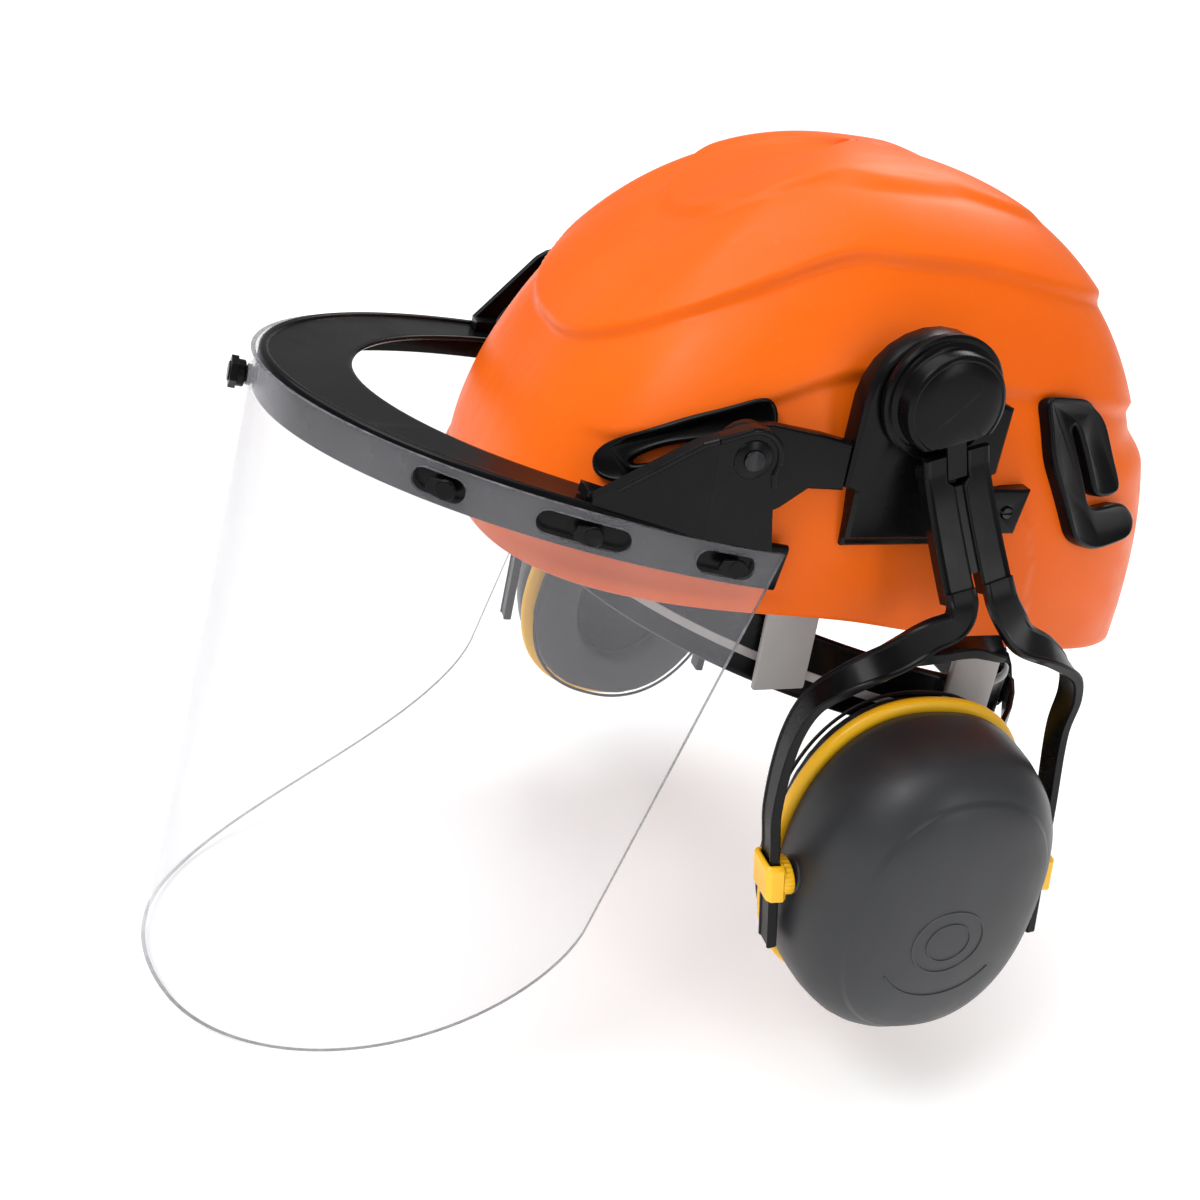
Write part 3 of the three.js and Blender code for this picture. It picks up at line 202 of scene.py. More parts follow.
def circle(count):
    """Cosine and sine of evenly spaced turns."""
    return [(cos(2 * pi * i / count), sin(2 * pi * i / count)) for i in range(count)]


def smooth_path(points):
    """Centripetal Catmull-Rom curve through the points, as a function of 0 to 1."""
    points = [Vector(p) for p in points]
    ends = [2 * points[0] - points[1], *points, 2 * points[-1] - points[-2]]

    def at(t):
        place = clamp(t) * (len(points) - 1)
        i = min(int(place), len(points) - 2)
        w = place - i
        p0, p1, p2, p3 = ends[i:i + 4]
        d0, d1, d2 = [max((b - a).length ** 0.5, 1e-4) for a, b in ((p0, p1), (p1, p2), (p2, p3))]
        m1 = ((p1 - p0) / d0 - (p2 - p0) / (d0 + d1) + (p2 - p1) / d1) * d1
        m2 = ((p2 - p1) / d1 - (p3 - p1) / (d1 + d2) + (p3 - p2) / d2) * d1
        return (p1 + m1 * w + (-3 * p1 + 3 * p2 - 2 * m1 - m2) * w ** 2
                + (2 * p1 - 2 * p2 + m1 + m2) * w ** 3)

    return at


def direction(curve, t):
    return (curve(min(1, t + 0.01)) - curve(max(0, t - 0.01))).normalized()


class Solid:
    """Vertices and faces of one piece, gathered from several closed forms."""

    def __init__(self):
        self.verts = []
        self.faces = []

    def loft(self, rings, loop=False, caps=True):
        start = len(self.verts)
        count = len(rings[0])
        for ring in rings:
            self.verts.extend(Vector(p) for p in ring)
        for r in range(len(rings) if loop else len(rings) - 1):
            here = start + r * count
            there = start + (r + 1) % len(rings) * count
            for i in range(count):
                j = (i + 1) % count
                self.faces.append((here + i, here + j, there + j, there + i))
        if caps and not loop:
            self.faces.append(tuple(range(start + count - 1, start - 1, -1)))
            last = start + (len(rings) - 1) * count
            self.faces.append(tuple(range(last, last + count)))
        return self

    def prism(self, outline, place, low, high):
        """Outline [(u, v), ...] pushed from low to high, placed by place(u, v, w)."""
        return self.loft([[place(u, v, w) for u, v in outline] for w in (low, high)])

    def rod(self, a, b, radius, count=32, lip=0.0):
        a, b = Vector(a), Vector(b)
        axis = (b - a).normalized()
        side = axis.orthogonal().normalized()
        other = axis.cross(side)

        def ring(centre, r):
            return [centre + r * (side * c + other * s) for c, s in circle(count)]

        if lip:
            return self.loft([ring(a, radius - lip), ring(a + axis * lip, radius),
                              ring(b - axis * lip, radius), ring(b, radius - lip)])
        return self.loft([ring(a, radius), ring(b, radius)])

    def mirrored(self):
        other = Solid()
        other.verts = [Vector((-v.x, v.y, v.z)) for v in self.verts]
        other.faces = [tuple(reversed(f)) for f in self.faces]
        return other

    def moved(self, place):
        other = Solid()
        other.verts = [place(v) for v in self.verts]
        other.faces = list(self.faces)
        return other

    def add(self, other):
        start = len(self.verts)
        self.verts.extend(other.verts)
        self.faces.extend(tuple(i + start for i in f) for f in other.faces)
        return self


def mesh_of(name, solid):
    """Mesh of a solid in metres, with its faces turned outwards."""
    mesh = bpy.data.meshes.new(name)
    mesh.from_pydata([v * MM for v in solid.verts], [], solid.faces)
    shape = bmesh.new()
    shape.from_mesh(mesh)
    bmesh.ops.recalc_face_normals(shape, faces=shape.faces)
    shape.to_mesh(mesh)
    shape.free()
    return mesh


def piece(name, solid, body, slot, nodes=(), **style):
    """Makes the object for a solid, with softened edges, riding on its body."""
    return dress(bpy.data.objects.new(name, mesh_of(name, solid)), body, slot, nodes, **style)


def dress(obj, body, slot, nodes=(), bevel=0.5, sharp=34, subdivide=0):
    """Gives an object its slot's material and its edge style, and ties it to its body."""
    if obj.name not in scene.collection.objects:
        scene.collection.objects.link(obj)
    obj.data.materials.clear()
    obj.data.materials.append(MATERIALS[slot])
    obj.data.shade_smooth()
    if bevel:
        edge = obj.modifiers.new("Soft edges", "BEVEL")
        edge.width = bevel * MM
        edge.segments = 2
        edge.limit_method = "ANGLE"
        edge.angle_limit = radians(sharp)
        edge.use_clamp_overlap = True
        edge.harden_normals = True
    elif sharp:
        obj.data.set_sharp_from_angle(angle=radians(sharp))
    if subdivide:
        finer = obj.modifiers.new("Finer", "SUBSURF")
        finer.levels = subdivide
        finer.render_levels = subdivide
    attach(obj, body)
    if nodes:
        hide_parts(*nodes)
    return obj


def refined(node, body, slot, bevel=0.4, sharp=30):
    """A moulded piece with the CAD solid's shape, its flat faces joined and its edges rounded."""
    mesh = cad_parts[node].data.copy()
    mesh.name = node + "_moulded"
    shape = bmesh.new()
    shape.from_mesh(mesh)
    bmesh.ops.remove_doubles(shape, verts=shape.verts, dist=2e-6)
    bmesh.ops.dissolve_limit(shape, angle_limit=radians(1.2), verts=shape.verts, edges=shape.edges)
    shape.to_mesh(mesh)
    shape.free()
    obj = bpy.data.objects.new(node + "_moulded", mesh)
    return dress(obj, body, slot, [node], bevel, sharp)


def arc(centre_u, centre_v, radius, start, end, steps):
    turns = [radians(mix(start, end, i / steps)) for i in range(steps + 1)]
    return [(centre_u + radius * cos(a), centre_v + radius * sin(a)) for a in turns]


# ------------------------------------------------------------------- materials


class Surface:
    """A material whose colour, roughness and relief are worked out by nodes."""

    def __init__(self, name, **sockets):
        self.material = bpy.data.materials.new(name)
        self.material.use_nodes = True
        self.nodes = self.material.node_tree.nodes
        self.links = self.material.node_tree.links
        self.shader = self.nodes["Principled BSDF"]
        for socket, value in sockets.items():
            self.shader.inputs[socket.replace("_", " ")].default_value = value
        self.place = self.nodes.new("ShaderNodeTexCoord").outputs["Object"]

    def node(self, kind, **values):
        item = self.nodes.new(kind)
        for key, value in values.items():
            if key in item.inputs:
                item.inputs[key].default_value = value
            else:
                setattr(item, key, value)
        return item

    def noise(self, scale, detail=3.0, stretch=None):
        item = self.node("ShaderNodeTexNoise", Scale=scale, Detail=detail)
        source = self.place
        if stretch:
            mapping = self.node("ShaderNodeMapping", Scale=stretch)
            self.links.new(source, mapping.inputs["Vector"])
            source = mapping.outputs["Vector"]
        self.links.new(source, item.inputs["Vector"])
        return item.outputs["Fac"]

    def spread(self, value, low, high, start=0.3, end=0.7):
        item = self.node("ShaderNodeMapRange")
        for socket, number in zip(("From Min", "From Max", "To Min", "To Max"),
                                  (start, end, low, high)):
            item.inputs[socket].default_value = number
        self.links.new(value, item.inputs["Value"])
        return item.outputs["Result"]

    def colour(self, first, second, factor):
        item = self.node("ShaderNodeMix", data_type="RGBA")
        colours = [socket for socket in item.inputs if socket.type == "RGBA"]
        for socket, value in zip(colours, (first, second)):
            if isinstance(value, tuple):
                socket.default_value = (*value, 1)
            else:
                self.links.new(value, socket)
        self.links.new(factor, item.inputs["Factor"])
        return [socket for socket in item.outputs if socket.type == "RGBA"][0]

    def tint(self, dark, pale, factor):
        self.set("Base Color", self.colour(dark, pale, self.spread(factor, 0, 1)))

    def combine(self, operation, first, second):
        item = self.node("ShaderNodeMath", operation=operation)
        for socket, value in zip(item.inputs, (first, second)):
            if isinstance(value, (int, float)):
                socket.default_value = value
            else:
                self.links.new(value, socket)
        return item.outputs["Value"]

    def relief(self, *layers):
        """Bump from (height, distance in mm) layers, one on top of the other."""
        normal = None
        for height, distance in layers:
            bump = self.node("ShaderNodeBump", Strength=1.0, Distance=distance * MM)
            self.links.new(height, bump.inputs["Height"])
            if normal:
                self.links.new(normal, bump.inputs["Normal"])
            normal = bump.outputs["Normal"]
        self.links.new(normal, self.shader.inputs["Normal"])

    def set(self, socket, value):
        self.links.new(value, self.shader.inputs[socket])


def shade(colour, factor):
    return tuple(c * factor for c in colour)


def moulded(name, colour, rough, grain=0.02, edge_wear_and_highlight=0.35, vary=0.12, **sockets):
    """Injection-moulded plastic: fine grain, faint flow marks and paler edges, partly rubbed wear and
    partly a painted highlight.
    """
    surface = Surface(name, **sockets)
    flow = surface.noise(22, 4, (1, 1, 0.35))
    base = surface.colour(shade(colour, 1 - vary), shade(colour, 1 + vary), surface.spread(flow, 0, 1))
    point = surface.node("ShaderNodeNewGeometry").outputs["Pointiness"]
    # Paler on sharp convex edges: partly rubbed wear, partly a painted highlight along the edges.
    rubbed_and_highlit_edges = surface.spread(point, 0, edge_wear_and_highlight, 0.53, 0.62)
    patchy = surface.combine("MULTIPLY", rubbed_and_highlit_edges, surface.spread(surface.noise(90, 5), 0.2, 1))
    pale = tuple(mix(c, 0.5, 0.22) for c in colour)
    surface.set("Base Color", surface.colour(base, pale, patchy))
    smears = surface.spread(surface.noise(45, 6), rough - 0.05, rough + 0.08)
    surface.set("Roughness", smears)
    surface.relief((surface.noise(2600, 2), grain), (surface.noise(60, 3), grain * 1.5))
    return surface.material


def orange_shell_material():
    surface = Surface("orange_shell", Coat_Weight=0.0, Specular_IOR_Level=0.16)
    cloud = surface.spread(surface.noise(9, 3), 0, 1)
    base = surface.colour((0.74, 0.105, 0.002), (0.84, 0.135, 0.004), cloud)
    dust = surface.spread(surface.noise(420, 5), 0, 0.04, 0.60, 0.78)
    surface.set("Base Color", surface.colour(base, (0.95, 0.45, 0.22), dust))
    scuffs = surface.noise(160, 6, (1, 0.12, 0.6))
    surface.set("Roughness", surface.spread(scuffs, 0.33, 0.46))
    surface.relief((surface.noise(900, 3), 0.02), (surface.noise(14, 2), 0.10))
    return surface.material


def steel_material():
    """Blackened steel, a little brighter along its brushed grain."""
    surface = Surface("steel", Metallic=1.0)
    brushed = surface.noise(500, 4, (1, 1, 0.1))
    surface.tint((0.020, 0.020, 0.022), (0.045, 0.045, 0.05), brushed)
    surface.set("Roughness", surface.spread(brushed, 0.25, 0.42))
    surface.relief((brushed, 0.01))
    return surface.material


def clear_sheet_material():
    surface = Surface("clear_sheet", IOR=1.49, Specular_IOR_Level=0.9)
    smears = surface.noise(30, 5, (1, 1, 0.3))
    surface.tint((0.40, 0.40, 0.44), (0.58, 0.58, 0.62), smears)
    surface.set("Roughness", surface.spread(smears, 0.04, 0.10))
    # The sheet turns more opaque grey where it is seen edge-on: a painted reflection along its curves.
    facing = surface.node("ShaderNodeLayerWeight", Blend=0.3).outputs["Facing"]
    surface.set("Alpha", surface.spread(facing, 0.10, 0.55, 0.25, 1.0))
    return surface.material


def clear_edge_material():
    """Cut edge of the clear sheet, given a dark grey, nearly opaque colour: a painted shade line along the
    sheet's edge.
    """
    surface = Surface("clear_edge", IOR=1.49, Alpha=0.8)
    smears = surface.noise(200, 3)
    surface.tint((0.10, 0.10, 0.11), (0.24, 0.24, 0.26), smears)
    surface.set("Roughness", surface.spread(smears, 0.15, 0.3))
    return surface.material


def vinyl_material():
    surface = Surface("black_vinyl", Coat_Weight=0.1, Coat_Roughness=0.4)
    creases = surface.noise(140, 6, (1, 0.35, 0.35))
    # Darker in the troughs of the crease relief: painted shade in the creases.
    surface.tint((0.006, 0.006, 0.007), (0.016, 0.016, 0.018), creases)
    surface.set("Roughness", surface.spread(surface.noise(60, 4), 0.42, 0.56))
    pores = surface.node("ShaderNodeTexVoronoi", Scale=1100)
    surface.links.new(surface.place, pores.inputs["Vector"])
    surface.relief((creases, 0.25), (pores.outputs["Distance"], 0.04))
    return surface.material


def foam_material():
    surface = Surface("grey_foam")
    cells = surface.node("ShaderNodeTexVoronoi", Scale=900)
    surface.links.new(surface.place, cells.inputs["Vector"])
    depth = cells.outputs["Distance"]
    # Darker at the middle of each cell, where the relief sinks: painted shade in the pores.
    surface.set("Base Color", surface.colour((0.012, 0.012, 0.013), (0.05, 0.05, 0.054),
                                             surface.spread(depth, 0, 1, 0.1, 0.7)))
    surface.set("Roughness", surface.spread(surface.noise(200, 3), 0.85, 1.0))
    surface.relief((depth, 0.5))
    return surface.material


def fabric_material(name, dark, pale, pitch, depth):
    """Two crossed thread directions, each a row of rounded ribs a pitch apart."""
    surface = Surface(name, Sheen_Weight=0.25, Sheen_Roughness=0.5)
    threads = []
    for stretch in ((1, 1, 0.25), (-1, 0.25, 1)):
        mapping = surface.node("ShaderNodeMapping", Scale=stretch)
        wave = surface.node("ShaderNodeTexWave", Scale=0.3 / (pitch * MM), Distortion=0.6, Detail=2)
        surface.links.new(surface.place, mapping.inputs["Vector"])
        surface.links.new(mapping.outputs["Vector"], wave.inputs["Vector"])
        threads.append(wave.outputs["Fac"])
    weave = surface.combine("MAXIMUM", *threads)
    fuzz = surface.combine("MULTIPLY", weave, surface.spread(surface.noise(300, 5), 0.6, 1))
    surface.set("Base Color", surface.colour(dark, pale, fuzz))
    surface.set("Roughness", surface.spread(surface.noise(150, 3), 0.8, 0.95))
    surface.relief((weave, depth))
    return surface.material


THREAD = (0.004, 0.004, 0.0045)
MATERIALS = {
    "orange_shell": orange_shell_material(),
    "black_plastic": moulded("black_plastic", (0.0022, 0.0022, 0.0027), 0.24, grain=0.004, edge_wear_and_highlight=0.08,
                             Specular_IOR_Level=0.12),
    "charcoal_plastic": moulded("charcoal_plastic", (0.026, 0.027, 0.030), 0.42, grain=0.03, edge_wear_and_highlight=0.15,
                                Specular_IOR_Level=0.35),
    "yellow_plastic": moulded("yellow_plastic", (0.96, 0.52, 0.006), 0.36, edge_wear_and_highlight=0.1, vary=0.05),
    "grey_plastic": moulded("grey_plastic", (0.36, 0.35, 0.345), 0.48, edge_wear_and_highlight=0.1),
    "steel": steel_material(),
    "clear_sheet": clear_sheet_material(),
    "black_vinyl": vinyl_material(),
    "grey_foam": foam_material(),
    "black_cloth": fabric_material("black_cloth", THREAD, (0.02, 0.02, 0.022), 1.4, 0.25),
    "black_webbing": fabric_material("black_webbing", THREAD, (0.03, 0.03, 0.032), 2.0, 0.35),
}
CLEAR_EDGE = clear_edge_material()

# ----------------------------------------------------------------------- shell


def rim_z(azimuth):
    c = cos(azimuth)
    tilt = (RIM_FRONT_Z - RIM_REAR_Z) / 2
    bow = (RIM_FRONT_Z + RIM_REAR_Z) / 2 - RIM_SIDE_Z
    return RIM_SIDE_Z + tilt * c + bow * c * c


def tier_lines(azimuth):
    """Dome fraction of each raised tier's edge, and how fully its step shows there."""
    a = abs((degrees(azimuth) + 180) % 360 - 180)
    return [
        (0.36 + 0.24 * ramp(a, 30, 76) - 0.05 * ramp(a, 110, 160), ramp(a, 26, 40)),
        (0.50 + 0.33 * ramp(a, 4, 74) - 0.07 * ramp(a, 100, 170), 1),
        (0.80 + 0.15 * ramp(a, 0, 62) - 0.05 * ramp(a, 115, 160), 1 - ramp(a, 140, 165)),
    ]


PLATEAU = [(96, 40), (100, 40), (104, 39.5), (108, 37), (112, 31), (115, 23), (117.5, 8), (119, -30)]
PLATEAU_START = 80
PLATEAU_STEP = 1.8


def plateau_raise(azimuth, z):
    """Raised panel behind the side slot, bounded by an arc that drops to the rim."""
    a = abs((degrees(azimuth) + 180) % 360 - 180)
    if not PLATEAU_START < a <= PLATEAU[-1][0]:
        return 0
    top = PLATEAU[0][1]
    for (a0, z0), (a1, z1) in zip(PLATEAU, PLATEAU[1:]):
        if a0 <= a <= a1:
            top = mix(z0, z1, (a - a0) / (a1 - a0))
    sideways = ramp(a, 119.2, 118.2) if a > 118 else 1
    return PLATEAU_STEP * ramp(top - z, -0.8, 1.0) * sideways * ramp(a, PLATEAU_START, PLATEAU_START + 12)


def shell_point(azimuth, fraction, lift=0.0):
    """Point on the shell, by azimuth from the brow and by share of its height, lifted outwards."""
    c, s = cos(azimuth), sin(azimuth)
    reach = SHELL_FRONT if c > 0 else SHELL_REAR
    radius = (abs(s / SHELL_HALF_WIDTH) ** PLAN_POWER + abs(c / reach) ** PLAN_POWER) ** (-1 / PLAN_POWER)
    end = PROFILE_FRONT if c > 0 else PROFILE_REAR
    power = PROFILE_SIDE + (end - PROFILE_SIDE) * c * c
    spread = (1 - min(fraction, 1) ** power) ** (1 / power) if fraction > 0 else 1.0
    low = rim_z(azimuth)
    height = SHELL_TOP - low
    base = Vector((radius * spread * s, -radius * spread * c, low + height * fraction))
    normal = Vector((base.x / SHELL_HALF_WIDTH ** 2, base.y / reach ** 2,
                     (base.z - low) / height ** 2)).normalized()
    out = sum(step * show * ramp(fraction - line, 0, TIER_WIDTH)
              for step, (line, show) in zip(TIER_STEP, tier_lines(azimuth)))
    out += REAR_BULGE * ramp(-c, 0.6, 0.93) * (1 - ramp(base.z, REAR_BULGE_Z - 8, REAR_BULGE_Z + 6))
    if lift > -1:                 # the side panel and the rolled brow show on the outer face only
        out += plateau_raise(azimuth, base.z) * 0.6
        out += 1.4 * ramp(c, 0.2, 0.6) * ramp(fraction, 0.06, 0.02)
    return base + normal * (out + lift)


def shell_at(azimuth, z, lift=0.0):
    low = rim_z(azimuth)
    return shell_point(azimuth, (z - low) / (SHELL_TOP - low), lift)


def shell_rings(lift, rows, count):
    rings = []
    for row in range(rows):
        fraction = sin(pi / 2 * row / rows)
        rings.append([shell_point(2 * pi * i / count, fraction, lift) for i in range(count)])
    return rings


def make_shell():
    rows, count = ((130, 360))
    outer = shell_rings(0, rows, count)
    inner = shell_rings(-SHELL_WALL, rows // 2, count)
    rim = [[a.lerp(b, t) - Vector((0, 0, 0.7)) for a, b in zip(inner[0], outer[0])] for t in (0.25, 0.75)]
    solid = Solid().loft(inner[::-1] + rim + outer)
    piece("shell_skin", solid, "helmet", "orange_shell", ["shell"], bevel=0, sharp=50)


make_shell()


def outside_shell(p, lift):
    """Whether a point lies outside the shell's outer face grown by lift."""
    azimuth = atan2(p.x, -p.y)
    if p.z > SHELL_TOP or p.z < rim_z(azimuth) - 3:
        return True
    face = shell_at(azimuth, max(p.z, rim_z(azimuth)), lift)
    return p.xy.length > face.xy.length


# ----------------------------------------------------------------- lamp clips


FRONT_CLIP = [(35, 31), (33.5, 36), (35, 41.5), (45.5, 53.5), (56, 62), (58.5, 60.5), (59.5, 55),
              (58, 52.5), (50, 48.5), (43.5, 44.5), (39.5, 39), (39.5, 36.5), (44.5, 41), (46, 39.5),
              (41.5, 33.5), (38.5, 30.5)]
REAR_CLIP = [(116, 65), (126, 63), (131, 57), (134.5, 33), (133, 30.5), (128, 31), (123.7, 54),
             (122.6, 56), (121.7, 54), (126.6, 27.5), (135.5, 27.5), (139.5, 20), (139, 13), (129, 12),
             (124, 17), (117, 45)]
CLIP_RISE = 4.6


def rounded_outline(points, radius, steps=5):
    """Closed outline with each corner replaced by a short curve, and long edges divided."""
    points = [Vector((u, v, 0)) for u, v in points]
    smooth = []
    for i, corner in enumerate(points):
        before, after = points[i - 1] - corner, points[(i + 1) % len(points)] - corner
        start = corner + before.normalized() * min(radius, before.length * 0.45)
        end = corner + after.normalized() * min(radius, after.length * 0.45)
        for k in range(steps + 1):
            t = k / steps
            smooth.append(start * (1 - t) ** 2 + corner * 2 * t * (1 - t) + end * t ** 2)
    dense = []
    for i, here in enumerate(smooth):
        there = smooth[(i + 1) % len(smooth)]
        parts = max(1, int((there - here).length / 2.5))
        dense.extend(here.lerp(there, k / parts) for k in range(parts))
    return dense


def inset(outline, amount):
    """The outline moved inwards. It runs clockwise or not, and the sign of its area tells."""
    area = sum(a.x * b.y - b.x * a.y for a, b in zip(outline, outline[1:] + outline[:1]))
    turn = 1 if area > 0 else -1
    moved = []
    for i, here in enumerate(outline):
        along_edge = (outline[(i + 1) % len(outline)] - outline[i - 1]).normalized()
        moved.append(here + Vector((-along_edge.y, along_edge.x, 0)) * turn * amount)
    return moved


def shell_plate(outline):
    """Plate bent onto the shell, with rounded corners and a softly rolled upper edge."""
    flat = [(radians(azimuth) * SHELL_HALF_WIDTH, z) for azimuth, z in outline]
    dense = rounded_outline(flat, 4.5)
    rings = []
    for amount, lift in ((0, -2), (0, CLIP_RISE - 1.2), (0.15, CLIP_RISE - 0.7), (0.45, CLIP_RISE - 0.3),
                         (0.9, CLIP_RISE - 0.05), (1.3, CLIP_RISE - 0.1), (1.6, CLIP_RISE - 0.35)):
        rings.append([shell_at(p.x / SHELL_HALF_WIDTH, p.y, lift) for p in inset(dense, amount)])
    return Solid().loft(rings)


def lamp_clips():
    for name, outline in (("front_lamp_clip", FRONT_CLIP), ("rear_lamp_clip", REAR_CLIP)):
        solid = shell_plate(outline)
        for side, shape in (("left", solid), ("right", solid.mirrored())):
            piece(f"{name}_rail_{side}", shape, "helmet", "black_plastic",
                  [f"{name}_{side}"], bevel=0, sharp=60)


lamp_clips()

# ------------------------------------------------------------- right-hand muff


def swung(v):
    """From the mirrored left muff to the place of the right one."""
    y, z = v.y - HUB_Y, v.z - HUB_Z
    return Vector((v.x, HUB_Y + y * cos(RIGHT_SWING) - z * sin(RIGHT_SWING),
                   HUB_Z + y * sin(RIGHT_SWING) + z * cos(RIGHT_SWING)))


ARM_DOWN = Vector((0, sin(YOKE_LEAN), -cos(YOKE_LEAN)))


def raised(v):
    return swung(v - ARM_DOWN * RIGHT_RAISE)


def both_muffs(name, solid, body, slot, nodes, lifted=False, **style):
    """The left muff's piece and its mirror, put where the right muff is worn."""
    pieces = []
    for side in ("left", "right"):
        shape = solid
        if side == "right":
            shape = solid.mirrored().moved(raised if lifted else swung)
        pieces.append(piece(f"{name}_{side}", shape, f"{body}_{side}", slot,
                            [f"{n}_{side}" for n in nodes], **style))
    return pieces


# ----------------------------------------------------------------- hub and yoke

STEM_DOWN = Vector((0, sin(STEM_LEAN), -cos(STEM_LEAN)))
STEM_ACROSS = Vector((0, cos(STEM_LEAN), sin(STEM_LEAN)))
HUB = Vector((0, HUB_Y, HUB_Z))


def with_x(v, x):
    return Vector((x, v.y, v.z))


TILT_PIN = with_x(HUB + STEM_DOWN * TILT_PIN_DROP, TILT_PIN_X)


def stem_prism(solid, outline, x0, x1):
    return solid.prism(outline, lambda a, d, x: with_x(HUB + STEM_ACROSS * a + STEM_DOWN * d, x), x0, x1)


LUG_HALF = 3.2                    # half the width of the lug that carries the tilt pin


def turret_solid():
    """Turning disc with a flat cut below its middle, and the lug that carries the tilt pin."""
    back = HOUSING_FACE_X + GAP
    profile = [(0.5, back - 6), (6, back - 6), (6, back), (TURRET_RADIUS - 0.6, back),
               (TURRET_RADIUS, back + 0.6), (TURRET_RADIUS, back + 2.6), (TURRET_RADIUS - 0.8, back + 3.5),
               (DISC_RADIUS + 1.6, back + 3.5), (DISC_RADIUS + 0.9, back + 4.3),
               (DISC_RADIUS + 0.3, back + 4.6), (DISC_RADIUS, back + 5.4),
               (DISC_RADIUS, DISC_FACE_X - 2.6), (DISC_RADIUS - 0.5, DISC_FACE_X - 1.7),
               (DISC_RADIUS - 1.4, DISC_FACE_X - 1.3), (DISC_RADIUS - 2.0, DISC_FACE_X - 1.5),
               (DISC_RADIUS - 3.0, DISC_FACE_X - 1.0), (DISC_RADIUS - 6, DISC_FACE_X - 0.45),
               (DISC_RADIUS - 10, DISC_FACE_X - 0.1), (0.5, DISC_FACE_X)]
    rings = []
    for radius, x in profile:
        flat = DISC_RADIUS * 0.70 if x > back + 3.6 else TURRET_RADIUS
        rings.append([with_x(HUB + STEM_ACROSS * (radius * c) + STEM_DOWN * min(radius * s, flat), x)
                      for c, s in circle(96)])
    solid = Solid().loft(rings)
    stem_prism(solid, [(-LUG_HALF, DISC_RADIUS - 5), (LUG_HALF, DISC_RADIUS - 5),
                       (LUG_HALF, TILT_PIN_DROP + 3), (-LUG_HALF, TILT_PIN_DROP + 3)],
               back, TILT_PIN_X + 3.2)
    return solid


def bar_frames(points, turns, samples):
    """Centre, width direction and face direction at even steps along a twisted bar."""
    curve = smooth_path(points)
    frames = []
    for i in range(samples + 1):
        t = i / samples
        centre = curve(t)
        tangent = direction(curve, t)
        across = tangent.cross(Vector((1, 0, 0))).normalized()
        across.rotate(Matrix.Rotation(radians(along(turns, t)), 3, tangent))
        face = across.cross(tangent).normalized()
        frames.append((t, centre, across, face))
    return frames


def strap_profile(width, thick):
    """Flat strap with rounded edges that stand a little proud of its face."""
    w, h = width / 2, thick / 2
    return [(-w + 0.6, -h), (w - 0.6, -h), (w, -h + 0.6), (w, h - 0.5), (w - 0.5, h), (w - 1.2, h),
            (w - 1.8, h - 0.45), (-w + 1.8, h - 0.45), (-w + 1.2, h), (-w + 0.5, h), (-w, h - 0.5),
            (-w, -h + 0.6)]


def flat_bar(solid, points, widths, thick, samples=60, turns=(0, 0)):
    rings = []
    for t, centre, across, face in bar_frames(points, turns, samples):
        rings.append([centre + across * a + face * b for a, b in strap_profile(along(widths, t), thick)])
    return solid.loft(rings)


FRONT_SHOULDER = [(127.5, -5, 0.5), (125.5, -14.5, -8), (122.5, -25.5, -16.5), (118.5, -34.5, -27),
                  (115, -38, -42.5)]
REAR_SHOULDER = [(125.5, 31, -2.5), (123, 46, -10), (119.5, 59, -19.5), (116.5, 65, -31),
                 (114, 67, -46.5)]
STRAIGHT_UP = 30
STRAIGHT_DOWN = 31

STEM_LENGTH = 51
STEM_HEAD_X = TILT_PIN_X + 0.5
STEM_FOOT_X = 128
STEM_TOP = with_x(TILT_PIN + STEM_DOWN * 6, STEM_HEAD_X)
STEM_FOOT = with_x(TILT_PIN + STEM_DOWN * STEM_LENGTH, STEM_FOOT_X)


def stem_point(f, shift=0.0, sideways=0.0):
    bow = 1.5 * sin(pi * clamp(f))
    return STEM_TOP.lerp(STEM_FOOT, f) + Vector((shift + bow, 0, 0)) + STEM_ACROSS * sideways


STRIP_TOP = 15.5                  # where the stem starts, below the hub's centre
STRIP_FOOT = 61
GROOVE_HALF = 1.5


def stem_spine(drop):
    """Middle of the stem, a distance below the hub's centre. It leans out more and more."""
    lean = clamp((drop - TILT_PIN_DROP) / STEM_LENGTH)
    return with_x(HUB + STEM_DOWN * drop, mix(STEM_HEAD_X, STEM_FOOT_X, lean ** 1.25))


def stem_ring(drop, section):
    tangent = (stem_spine(drop + 1) - stem_spine(drop - 1)).normalized()
    face = STEM_ACROSS.cross(tangent).normalized()
    face = face if face.x > 0 else -face
    return [stem_spine(drop) + STEM_ACROSS * a + face * b for a, b in section]


def strip_section(inner, outer, low, high):
    """Half of the stem: a flat face between a rolled outer edge and a fine inner one."""
    return [(inner + 0.3, low), (outer - 0.7, low), (outer, low + 0.7), (outer, high - 0.9),
            (outer - 0.3, high - 0.3), (outer - 0.9, high), (outer - 1.6, high - 0.1),
            (outer - 2.1, high - 0.35), (inner + 0.8, high - 0.35), (inner + 0.4, high - 0.15),
            (inner, high - 0.5), (inner, low + 0.3)]


